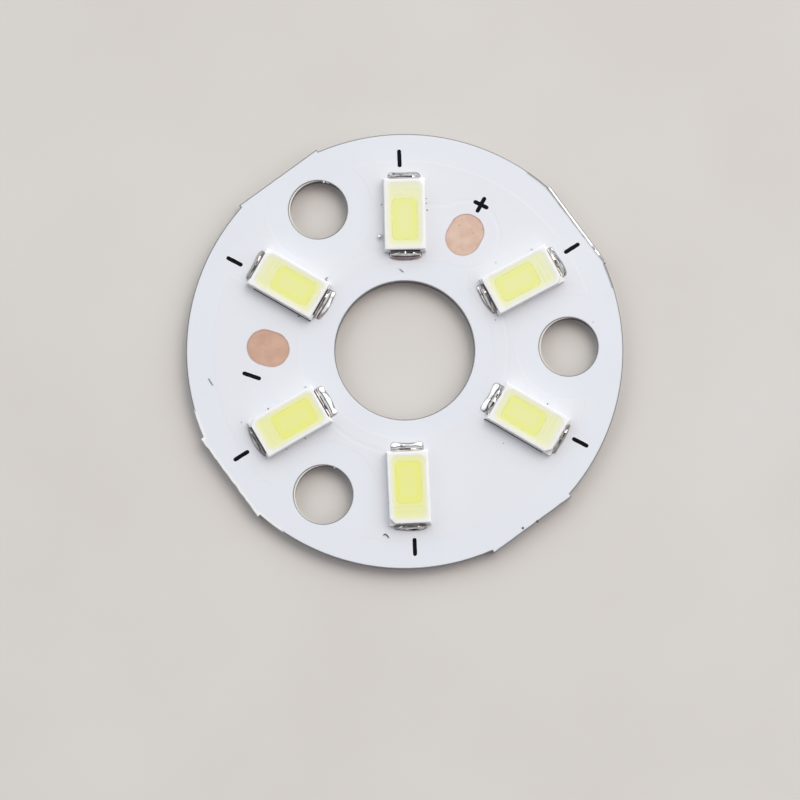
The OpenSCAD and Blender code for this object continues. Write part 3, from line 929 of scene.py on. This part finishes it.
def pushed_aside(outline):
    """A hole's edge. The punch pushed the lacquer back on one side of a screw hole, and over on the other."""
    is_centre_hole = np.hypot(*outline_middle(outline)) < BIG_HOLE
    return outline if is_centre_hole else outline + PUNCH_SHIFT


def along_joint(outline):
    """A land's opening, where the lacquer ends at the edge of the joint."""
    middle = Vector(outline_middle(outline))
    led = min(LEDS, key=lambda k: (led_matrix(k).translation.xy - middle).length)
    place = led_matrix(led)
    back = place.inverted()
    local = [back @ Vector((*point, 0)) for point in divided(outline, JOINT_STEP).tolist()]
    side = int(math.copysign(1, sum(point.x for point in local)))
    drawn_back = joint_shape(led, side, max(side * point.x for point in local))
    half = max(point.y for point in local)
    for point in local:
        point.x = side * drawn_back(side * point.x, point.y / half)
    return np.array([(place @ point)[:2] for point in local])


def bled_over(outline):
    """A wire pad's opening, where the lacquer flowed a little over the copper and left an uneven edge."""
    uneven = np.array([noise.noise(Vector((*point, 0)) / BLEED_SIZE) for point in outline.tolist()])
    return moved_in(outline, (-LACQUER_BLEED + LACQUER_BLEED / 2 * uneven)[:, None])


cut_outlines, land_outlines, pad_outlines, sheet_outlines = [], [], [], []
for outline in mask_outlines:
    reach = least_reach(outline)
    if reach > RIM_LEAST:
        kind, outline = cut_outlines, torn(outline)
    elif reach > BIG_HOLE:
        kind, outline = cut_outlines, pushed_aside(outline)
    elif reach > SMALL_OPENING:
        kind, outline = pad_outlines, bled_over(outline)
    else:
        kind, outline = land_outlines, along_joint(outline)
    kind.append(outline)
    sheet_outlines.append(outline)
print(f"{len(cut_outlines)} cut edges, {len(land_outlines)} lands and {len(pad_outlines)} wire pads")

# %% [markdown]
# ## The lacquer's sheet
# Lacquer sinks a little where the copper under it is missing, and punching drew it down at the rim and the
# holes. A plain extrusion would be flat, and a fine grid would be heavy and miss the outlines. So the worn
# outlines and the copper's, repeated at small offsets, are triangulated together, and every point gets its
# height and its tints from its distance to the copper and to the edges.

# %% Triangles of the lacquer
SINK_RAMP = 0.09 * MM
# Places of the lines that carry the sink across the copper's edge, as shares of the ramp
SINK_LINES = (-1, -0.35, 0.35, 1)
# Offsets of the lines that carry the tints at an edge
EDGE_LINES = (0.03 * MM, 0.1 * MM, 0.2 * MM)
# The triangulation gives all triangles, and joins points within this many millimetres
ALL_TRIANGLES = 0
JOIN_WITHIN = 1e-5

lines = list(sheet_outlines)
lines += [moved_in(outline, offset) for outline in sheet_outlines for offset in EDGE_LINES]
lines += [moved_in(outline, SINK_RAMP * share) for outline in copper_outlines for share in SINK_LINES]
flat_points, flat_edges = [], []
for line in lines:
    first = len(flat_points)
    flat_points += [Vector(point) for point in (line / MM).tolist()]
    flat_edges += [(first + k, first + (k + 1) % len(line)) for k in range(len(line))]
triangulated = geometry.delaunay_2d_cdt(flat_points, flat_edges, [], ALL_TRIANGLES, JOIN_WITHIN)
plan = np.array([point[:] for point in triangulated[0]]) * MM
triangles = triangulated[2]
middles = np.array([plan[list(triangle)].mean(axis=0) for triangle in triangles])
kept = [triangles[k] for k in np.flatnonzero(lies_inside(middles, sheet_outlines))]
print(f"{len(kept)} triangles of {len(triangles)} lie on the lacquer")

# %% Heights and tints of the lacquer
COPPER_SINK = 0.006 * MM
PUNCH_DRAW = 0.03 * MM
PUNCH_REACH = 0.1 * MM
# How far the painted shade reaches from an edge, then the painted highlight and the score's painted shade,
# then heat stain
EDGE_SHADE_REACH = 0.1 * MM
FLAT_EDGE_REACH = 0.2 * MM
STAIN_REACH = 0.07 * MM
# Strength of the painted shade at cut edges, of the darker line at lands, of the painted shade along the
# score, and of the painted highlight
CUT_EDGE_SHADE = 1.2
LAND_EDGE_DARKENING = 0.75
SCORE_EDGE_SHADE = 1.1
EDGE_HIGHLIGHT_STRENGTH = 2.0
SCORED_FLAT, BROKEN_FLAT = FLAT_BEARINGS[0], FLAT_BEARINGS[2]


def smooth_step(share):
    """A share that starts and ends softly."""
    share = np.clip(share, 0, 1)
    return share * share * (3 - 2 * share)


def at_edge(distance, reach, strength=1.0):
    """Amount of a tint that fades out within a reach of an edge."""
    return (strength * (1 - distance / reach)).clip(0, 1)


over_copper = edge_distance(plan, copper_outlines) * np.where(lies_inside(plan, copper_outlines), 1, -1)
copper_share = smooth_step((over_copper / SINK_RAMP + 1) / 2)
from_cut = edge_distance(plan, cut_outlines)
from_land = edge_distance(plan, land_outlines)
from_pad = edge_distance(plan, pad_outlines)
sheet_z = board_top - COPPER_SINK * (1 - copper_share)
sheet_z -= PUNCH_DRAW * (1 - smooth_step(from_cut / PUNCH_REACH))
# Painted shade: a dark line at cut edges and a darker line round the lands; the scored flat gets a wider one,
# and the broken flat a painted highlight as a negative amount
edge_shade_and_highlight = np.maximum(at_edge(from_cut, EDGE_SHADE_REACH, CUT_EDGE_SHADE), at_edge(from_land, EDGE_SHADE_REACH, LAND_EDGE_DARKENING))
scored = at_edge(from_cut, FLAT_EDGE_REACH, SCORE_EDGE_SHADE)
edge_highlight = at_edge(from_cut, FLAT_EDGE_REACH, EDGE_HIGHLIGHT_STRENGTH)
edge_shade_and_highlight = np.where(plan @ flat_way(SCORED_FLAT) > RIM_LEAST, scored, edge_shade_and_highlight)
edge_shade_and_highlight = np.where(plan @ flat_way(BROKEN_FLAT) > RIM_LEAST, -edge_highlight, edge_shade_and_highlight)
tints = {"copper": copper_share, "edge_shade_and_highlight": edge_shade_and_highlight, "stain": at_edge(from_pad, STAIN_REACH)}
print("mean tints:", {name: round(float(amounts.mean()), 3) for name, amounts in tints.items()})

# %% Lacquer sheet
mask_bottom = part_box("solder_mask")[0].z


def build_sheet(made):
    """Draw the lacquer: an upper and a lower face, and walls along edges that only one triangle has."""
    used = sorted({k for triangle in kept for k in triangle})
    for name in tints:
        made.verts.layers.float.new(name)
    top = {k: made.verts.new((*plan[k], sheet_z[k])) for k in used}
    low = {k: made.verts.new((*plan[k], mask_bottom)) for k in used}
    for name, amounts in tints.items():
        layer = made.verts.layers.float[name]
        for k in used:
            top[k][layer] = low[k][layer] = amounts[k]
    for triangle in kept:
        made.faces.new([top[k] for k in triangle])
        made.faces.new([low[k] for k in triangle[::-1]])
    for a, b in outer_edges(kept):
        made.faces.new((top[b], top[a], low[a], low[b]))


lacquer_mesh = mesh_from("lacquer_sheet", build_sheet)
make_piece("lacquer_sheet", lacquer_mesh, lacquer, replaced="solder_mask")
print(f"lacquer of {len(lacquer_mesh.polygons)} faces")

# %% [markdown]
# ## Print
# The black marks are screen-printed ink: a polarity bar outside each LED, and a minus and a plus at the wire
# pads. The print lies a little turned and shifted against the copper, as prints do. A mark could be painted
# in the lacquer's material, but a film with its own edge keeps it sharp in close views. Each mark is a loft
# between outlines that are dropped onto the lacquer, with a slightly uneven edge.

# %% Ink
def screen_ink():
    """Black epoxy ink: near black, matt, with pinholes of the screen's mesh as paler dots."""
    made, tree, place = new_material("black_screen_ink")
    pinholes = add(tree, "TexNoise", {"Vector": place, "Scale": per_mm(0.15)})
    tone = add(tree, "ValToRGB", {0: pinholes}, [(0.3, "#020204"), (0.72, "#101018")])
    return finished(made, {"Base Color": tone, "Roughness": 0.55, "IOR": 1.5, "Specular IOR Level": 0.1})


ink = screen_ink()

# %% Printed marks
INK_HALF = 0.15 * MM
INK_WOBBLE = 0.02 * MM
WOBBLE_SIZE = 0.25 * MM
INK_POINTS = 120
INK_FILM = 0.012 * MM
# Inset and lift of the three rings of a mark
INK_RINGS = ((0, -INK_FILM), (0, INK_FILM / 2), (0.02 * MM, INK_FILM))
PRINT_TURN = 1.1
PRINT_SHIFT = Vector((0.17, -0.11, 0)) * MM
# Bearing of the first LED's bar, and angle from one bar to the next, in degrees
FIRST_BAR = 90
BAR_PITCH = 60
BAR_LENGTH = 1.32 * MM
BAR_RADIUS = 14.3 * MM
# Middle of each sign, and direction in degrees and length of each of its bars
MINUS = (Vector((-11.22, -1.66, 0)) * MM, [(-20, 1.42 * MM)])
PLUS = (Vector((5.82, 10.63, 0)) * MM, [(-27.5, 1.22 * MM), (60, 1.3 * MM)])
ABOVE_BOARD = 5 * MM

corner_points = [vertex.co for vertex in lacquer_mesh.vertices]
lacquer_tree = BVHTree.FromPolygons(corner_points, [face.vertices for face in lacquer_mesh.polygons])


def board_height(x, y):
    """Height of the lacquer at a place on the board, or of its top where it is open."""
    hit = lacquer_tree.ray_cast(Vector((x, y, ABOVE_BOARD)), -UP)[0]
    return hit.z if hit else board_top


def bar_reach(turn, half_run):
    """Distance from the middle of a round-ended bar to its edge, in a direction turned from its axis."""
    across = abs(math.sin(turn))
    along = abs(math.cos(turn))
    if across * half_run >= INK_HALF * along:
        return INK_HALF / across
    return half_run * along + math.sqrt(max(INK_HALF ** 2 - (half_run * across) ** 2, 0))


def build_mark(centre, bars):
    """Function that draws one mark: bars that cross at a point, each as (direction in degrees, length)."""
    def build(made):
        rings = [[] for _ in INK_RINGS]
        for k in range(INK_POINTS):
            turn = 2 * math.pi * k / INK_POINTS
            reach = max(bar_reach(turn - math.radians(a), l / 2 - INK_HALF) for a, l in bars)
            way = plan_way(turn)
            reach += INK_WOBBLE * noise.noise((centre + way * reach) / WOBBLE_SIZE)
            for ring, (inset, lift) in zip(rings, INK_RINGS):
                place = centre + way * (reach - inset)
                ring.append((place.x, place.y, board_height(place.x, place.y) + lift))
        loft(made, rings)
    return build


marks = {}
for led in LEDS:
    bearing = FIRST_BAR - BAR_PITCH * (led - 1) + PRINT_TURN
    middle = Vector((*flat_way(bearing), 0)) * BAR_RADIUS + PRINT_SHIFT
    marks[f"led_{led}_bar"] = (middle, [(bearing, BAR_LENGTH)])
marks["minus_mark"] = MINUS
marks["plus_mark"] = PLUS
for name, (centre, bars) in marks.items():
    make_piece(name, mesh_from(name, build_mark(centre, bars)), ink)
print(f"{len(marks)} printed marks")

# %% [markdown]
# ## Score strip
# Boards like this come side by side in a panel and are snapped out along a score. At one flat the score's
# bright metal shows beside the lacquer, where the cutter ran shallow. The CAD solid has the same deep score
# at all four flats, and it is not changed, so a narrow ragged strip of the same metal fills it at this one.

# %% Rolled aluminium
# Pattern stretched along the rolling direction
ROLLING = (0.03, 1, 1)
# Share of painted shade on the walls of the holes and of the rim
HOLE_WALL_SHADE = 0.75
RIM_WALL_SHADE = 0.35


def rolled_aluminium():
    """Rolled sheet: pale grey metal with fine lines along the rolling. Painted shade darkens punched walls.
    """
    made, tree, place = new_material("rolled_aluminium")
    stretched = add(tree, "VectorMath", {0: place, 1: ROLLING}, operation="MULTIPLY")
    # Rolling lines are finer, and are drawn coarser so that they show
    lines = add(tree, "TexNoise", {"Vector": stretched, "Scale": per_mm(0.08), "Detail": 3.0})
    rough = add(tree, "MapRange", {"Value": lines, "To Min": 0.25, "To Max": 0.5})
    tone = add(tree, "Mix", {0: lines, MIX_A: "#c3c5c9", MIX_B: "#dcdddf"}, **MIXED)
    # Painted shade: faces that stand sideways, the walls of the holes and of the rim, are mixed towards a
    # dark brown, more in the holes
    facing = add(tree, "NewGeometry", out="Normal")
    upward = add(tree, "SeparateXYZ", {0: facing}, out="Z")
    upward = add(tree, "Math", {0: upward}, operation="ABSOLUTE")
    wall = add(tree, "MapRange", {"Value": upward, "From Max": 0.2, "To Min": 1.0, "To Max": 0.0})
    flat = add(tree, "VectorMath", {0: place, 1: IN_PLAN}, operation="MULTIPLY")
    reach = add(tree, "VectorMath", {0: flat}, operation="LENGTH", out="Value")
    wall_shade = add(tree, "MapRange", {"Value": reach, "From Min": RIM_LEAST - MM, "From Max": RIM_LEAST,
                                 "To Min": HOLE_WALL_SHADE, "To Max": RIM_WALL_SHADE})
    wall_shade = add(tree, "Math", {0: wall, 1: wall_shade}, operation="MULTIPLY")
    tone = add(tree, "Mix", {0: wall_shade, MIX_A: tone, MIX_B: "#5a4a40"}, **MIXED)
    bump = add(tree, "Bump", {"Height": lines, "Strength": 0.3, "Distance": 0.01 * MM})
    return finished(made, {"Base Color": tone, "Roughness": rough, "Normal": bump, "Metallic": 1.0})


aluminium = rolled_aluminium()

# %% Score strip
STRIP_HALF = 3.4 * MM
STRIP_STEPS = 60
STRIP_RAGGED = 0.03 * MM
STRIP_TILT = 0.02 * MM
# Outline across the strip in millimetres, as reach from the board's axis and height
STRIP_SECTION = ((15.615, 1.118), (15.72, 1.085), (15.76, 1.03), (15.8, 0.75), (15.615, 0.9))


def build_strip(made):
    """Draw the strip along its flat, from end to end."""
    out = Vector((*flat_way(SCORED_FLAT), 0))
    rings = []
    for k in range(STRIP_STEPS + 1):
        along = Vector((-out.y, out.x, 0)) * STRIP_HALF * (2 * k / STRIP_STEPS - 1)
        wave = noise.noise(along / TORN_SIZE)
        rag = STRIP_RAGGED * wave
        ring = [out * (reach * MM + rag) + along + UP * (z * MM) for reach, z in STRIP_SECTION]
        ring[1].z += STRIP_TILT * wave
        rings.append(ring)
    loft(made, rings)


make_piece("score_strip", mesh_from("score_strip", build_strip), aluminium)
print("score strip along the flat at", SCORED_FLAT, "degrees")

# %% [markdown]
# ## Traces of making and handling
# The oven left balls of solder and specks of burnt flux. The punch left beads of metal on the rims of two
# holes, and a few fibres came from hands and cloth. Each is tiny, but together they tell a used board from a
# drawing. They could be painted, but then they would cast no shadow. Along the feet of two LEDs a dark line
# of the flux's material is painted shade, for the shade beside them. Balls, beads and specks are one shape, a
# drop of a given height. Fibres and shade lines are thin tubes along a path.

# %% Drops
DROP_RINGS = 8
DROP_POINTS = 6
# A drop is a ball from this angle below its equator, over a span of degrees, with an uneven swell
DROP_LOW = -50
DROP_SPAN = 130
DROP_SWELL = 0.2
# Places in millimetres, and radii
SOLDER_BALLS = ((-1.64, 8.42, 0.18), (9.48, 7.27, 0.06), (-7.31, -2.55, 0.06))
HOLE_BURRS = ((-5.7, 12.53, 0.1), (-5.49, 12.5, 0.06), (-5.38, 12.44, 0.05), (-5.3, -8.54, 0.07))
FLUX_SPECKS = ((1.8, 11.17, 0.04), (1.81, 10.83, 0.045), (1.86, 10.31, 0.05), (-1.47, 10.78, 0.05),
               (6.82, 6.33, 0.035), (6.7, 2.1, 0.04), (5.74, -5.21, 0.05), (10.37, -4.15, 0.05),
               (7.09, -6.96, 0.035), (-1.4, -11.14, 0.04), (-10.06, -4.1, 0.055), (-12.04, -5.04, 0.035),
               (-7.39, -6.32, 0.05), (-8.76, -7.1, 0.035), (-7.72, 2.65, 0.06), (13.84, 1.8, 0.035),
               (8.35, -13.19, 0.09), (9.41, -12.72, 0.1))


def build_drops(drops, flatness):
    """Function that draws drops on the board, as round balls or flattened to a share of their height."""
    lowest = math.sin(math.radians(DROP_LOW))

    def build(made):
        for x, y, radius in drops:
            radius *= MM
            foot = Vector((x * MM, y * MM, board_height(x * MM, y * MM)))
            rings = []
            for k in range(DROP_RINGS + 1):
                turn = math.radians(DROP_LOW + DROP_SPAN * k / DROP_RINGS)
                reach = radius * math.cos(turn)
                lift = radius * flatness * (math.sin(turn) - lowest)
                ring = [Vector(point) for point in rounded_ring(reach, reach, reach, lift, steps=DROP_POINTS)]
                swell = [1 + DROP_SWELL * noise.noise(foot / radius + point / radius) for point in ring]
                rings.append([foot + point * share for point, share in zip(ring, swell)])
            loft(made, rings)
    return build


print(f"{len(SOLDER_BALLS)} balls, {len(HOLE_BURRS)} burrs and {len(FLUX_SPECKS)} specks to draw")

# %% Fibres and lines
FIBRE_POINTS = 6
FIBRE_STEPS = 12
# How near the handles of the path's curve come to its bend
FIBRE_BEND = 0.9
# Paths in millimetres
DARK_FIBRES = (((-1.81, -13.51), (-1.68, -13.35), (-1.36, -13.8)),)
PALE_FIBRES = (((-0.25, 6.0), (-0.09, 5.87), (0.06, 5.74)),
               ((-14.37, -1.79), (-14.24, -2.03), (-14.03, -2.36)),
               ((-5.51, 5.47), (-5.79, 5.39), (-5.51, 5.21)))
DARK_FIBRE_R = 0.04 * MM
PALE_FIBRE_R = 0.035 * MM
# LEDs with a painted shade line, a dark tube along the foot of the side that faces down the board
SHADE_LINE_LEDS = (3, 6)
SHADE_LINE_R = 0.035 * MM


def foot_line(led):
    """Path in millimetres along the foot of an LED's long side, on the side that faces down the board."""
    across = led_matrix(led).to_3x3() @ Vector((0, 1, 0))
    y = math.copysign(half_w + SHADE_LINE_R, -across.y)
    ends = [led_matrix(led) @ Vector((x, y, 0)) for x in (-base_half_l, 0, base_half_l)]
    return [(end / MM)[:2] for end in ends]


def build_fibres(paths, radius):
    """Function that draws fibres that lie on the board along paths of three points."""
    turns = [2 * math.pi * k / FIBRE_POINTS for k in range(FIBRE_POINTS)]

    def build(made):
        for path in paths:
            start, bend, end = (Vector((x, y, 0)) * MM for x, y in path)
            handles = (start.lerp(bend, FIBRE_BEND), end.lerp(bend, FIBRE_BEND))
            run = geometry.interpolate_bezier(start, *handles, end, FIBRE_STEPS)
            rings = []
            for here, ahead in zip(run, run[1:]):
                side = (ahead - here).normalized().cross(UP)
                middle = Vector((here.x, here.y, board_height(here.x, here.y) + radius))
                rings.append([middle + (side * math.cos(t) + UP * math.sin(t)) * radius for t in turns])
            loft(made, rings)
    return build


# Painted shade: the dark lines along these feet stand for the shade beside the mouldings
flux_lines = [foot_line(led) for led in SHADE_LINE_LEDS]
print(f"{len(DARK_FIBRES + PALE_FIBRES)} fibres and {len(flux_lines)} lines of flux to draw")

# %% Flux, lint and the pieces
def burnt_flux_and_painted_shade():
    """Rosin flux that charred in the oven: glassy brown-black crumbs. It also draws the painted shade lines.
    """
    made, tree, place = new_material("burnt_rosin_flux_and_painted_shade")
    char = add(tree, "TexNoise", {"Vector": place, "Scale": per_mm(0.05)})
    tone = add(tree, "Mix", {0: char, MIX_A: "#3a3436", MIX_B: "#6a6468"}, **MIXED)
    return finished(made, {"Base Color": tone, "Roughness": 0.3, "IOR": 1.53})


def cotton_lint(name, dark, pale):
    """Soiled cotton fibre: dull grey with paler stretches."""
    made, tree, place = new_material(name)
    stretch = add(tree, "TexNoise", {"Vector": place, "Scale": per_mm(0.2)})
    tone = add(tree, "Mix", {0: stretch, MIX_A: dark, MIX_B: pale}, **MIXED)
    return finished(made, {"Base Color": tone, "Roughness": 0.8, "IOR": 1.53})


flux = burnt_flux_and_painted_shade()
dark_lint = cotton_lint("dark_lint", "#3c3840", "#5c5860")
pale_lint = cotton_lint("pale_lint", "#7c8086", "#a0a4aa")
traces = {"solder_balls": (build_drops(SOLDER_BALLS, flatness=1), solder, "solder"),
          "hole_burrs": (build_drops(HOLE_BURRS, flatness=0.9), aluminium, "aluminium"),
          "flux_specks": (build_drops(FLUX_SPECKS, flatness=0.4), flux, "resin"),
          "flux_lines": (build_fibres(flux_lines, SHADE_LINE_R), flux, "resin"),
          "dark_fibre": (build_fibres(DARK_FIBRES, DARK_FIBRE_R), dark_lint, "resin"),
          "pale_fibres": (build_fibres(PALE_FIBRES, PALE_FIBRE_R), pale_lint, "resin")}
for name, (build, material, slot) in traces.items():
    make_piece(name, mesh_from(name, build, SMOOTH_BELOW), material)
print("traces:", ", ".join(traces))

# %% [markdown]
# ## Materials of the CAD solids that stay
# The core, the resin under the copper, the copper foil, the lead frames, dies and bond wires have their true
# form in the CAD model, so they only need finishes. The wire pads are the copper that the lacquer leaves
# bare. Copper foil that has passed the oven is matt and pinkish brown, not polished, so it is half metal and
# half oxide. The negative net's pad is more tarnished than the other.

# %% Finishes of the solids
def filled_epoxy():
    """Epoxy filled with ceramic powder: opaque, cream-white and dull, with a sandy grain."""
    made, tree, place = new_material("ceramic_filled_epoxy")
    grain = add(tree, "TexNoise", {"Vector": place, "Scale": per_mm(0.1), "Detail": 3.0})
    tone = add(tree, "Mix", {0: grain, MIX_A: "#dcd8cc", MIX_B: "#eeebe3"}, **MIXED)
    return finished(made, {"Base Color": tone, "Roughness": 0.6, "IOR": 1.55})


def baked_copper(name, dark, pale):
    """Etched copper foil after the oven: matt, pinkish, with a thin brown oxide in clouds and dark specks."""
    made, tree, place = new_material(name)
    cloud = add(tree, "TexNoise", {"Vector": place, "Scale": per_mm(0.9), "Detail": 5.0})
    tone = add(tree, "ValToRGB", {0: cloud}, [(0.3, dark), (0.65, pale)])
    speck = add(tree, "TexNoise", {"Vector": place, "Scale": per_mm(0.3), "Detail": 1.0})
    speck = add(tree, "MapRange", {"Value": speck, "From Min": 0.7, "From Max": 0.78, "To Max": 0.5})
    tone = add(tree, "Mix", {0: speck, MIX_A: tone, MIX_B: "#8a6656"}, **MIXED)
    bump = add(tree, "Bump", {"Height": cloud, "Strength": 0.2, "Distance": 0.01 * MM})
    return finished(made, {"Base Color": tone, "Normal": bump, "Metallic": 0.55, "Roughness": 0.5})


def silver_plate():
    """Stamped copper strip plated with silver: bright, with brownish tarnish where it was bent and heated."""
    made, tree, place = new_material("silver_plated_strip")
    tarnish = add(tree, "TexNoise", {"Vector": place, "Scale": per_mm(0.5), "Detail": 4.0})
    tone = add(tree, "ValToRGB", {0: tarnish}, [(0.35, "#8e827c"), (0.65, "#c4beb8")])
    rough = add(tree, "MapRange", {"Value": tarnish, "To Min": 0.42, "To Max": 0.25})
    return finished(made, {"Base Color": tone, "Roughness": rough, "Metallic": 1.0})


def drawn_gold():
    """Drawn gold wire: warm yellow metal with faint drawing marks."""
    made, tree, place = new_material("drawn_gold_wire")
    mark = add(tree, "TexNoise", {"Vector": place, "Scale": per_mm(0.03)})
    tone = add(tree, "Mix", {0: mark, MIX_A: "#d8b050", MIX_B: "#ecd08a"}, **MIXED)
    return finished(made, {"Base Color": tone, "Metallic": 1.0, "Roughness": 0.2})


def sapphire_chip():
    """Polished sapphire with its grown layers: bluish, glassy, with a fine pattern of contacts."""
    made, tree, place = new_material("sapphire_chip")
    fingers = add(tree, "TexWave", {"Vector": place, "Scale": per_mm(0.3), "Distortion": 0.5}, out="Fac")
    tone = add(tree, "Mix", {0: fingers, MIX_A: "#86a8ca", MIX_B: "#b8cee2"}, **MIXED)
    return finished(made, {"Base Color": tone, "Roughness": 0.1, "IOR": 1.77})


# %% Dress the solids
finishes = {"aluminium": aluminium, "resin": filled_epoxy(), "lead_frame": silver_plate(),
            "bond_wire": drawn_gold(), "die": sapphire_chip(),
            "copper": baked_copper("baked_copper_foil", "#cdac99", "#dbc2b1")}
tarnished = baked_copper("tarnished_copper_foil", "#c7a38e", "#d6b19c")
dressed = 0
for part in frame["record"]["subparts"]:
    finish = finishes.get(part["material_slot"])
    if finish:
        mesh = nodes[part["node"]].data
        mesh.materials.clear()
        mesh.materials.append(tarnished if part["node"] == "copper_negative" else finish)
        dressed += 1
print(f"{dressed} solids dressed with {len(finishes) + 1} finishes")

# %% [markdown]
# ## End
# Dressing must not change the object's size.


print("dressing done")
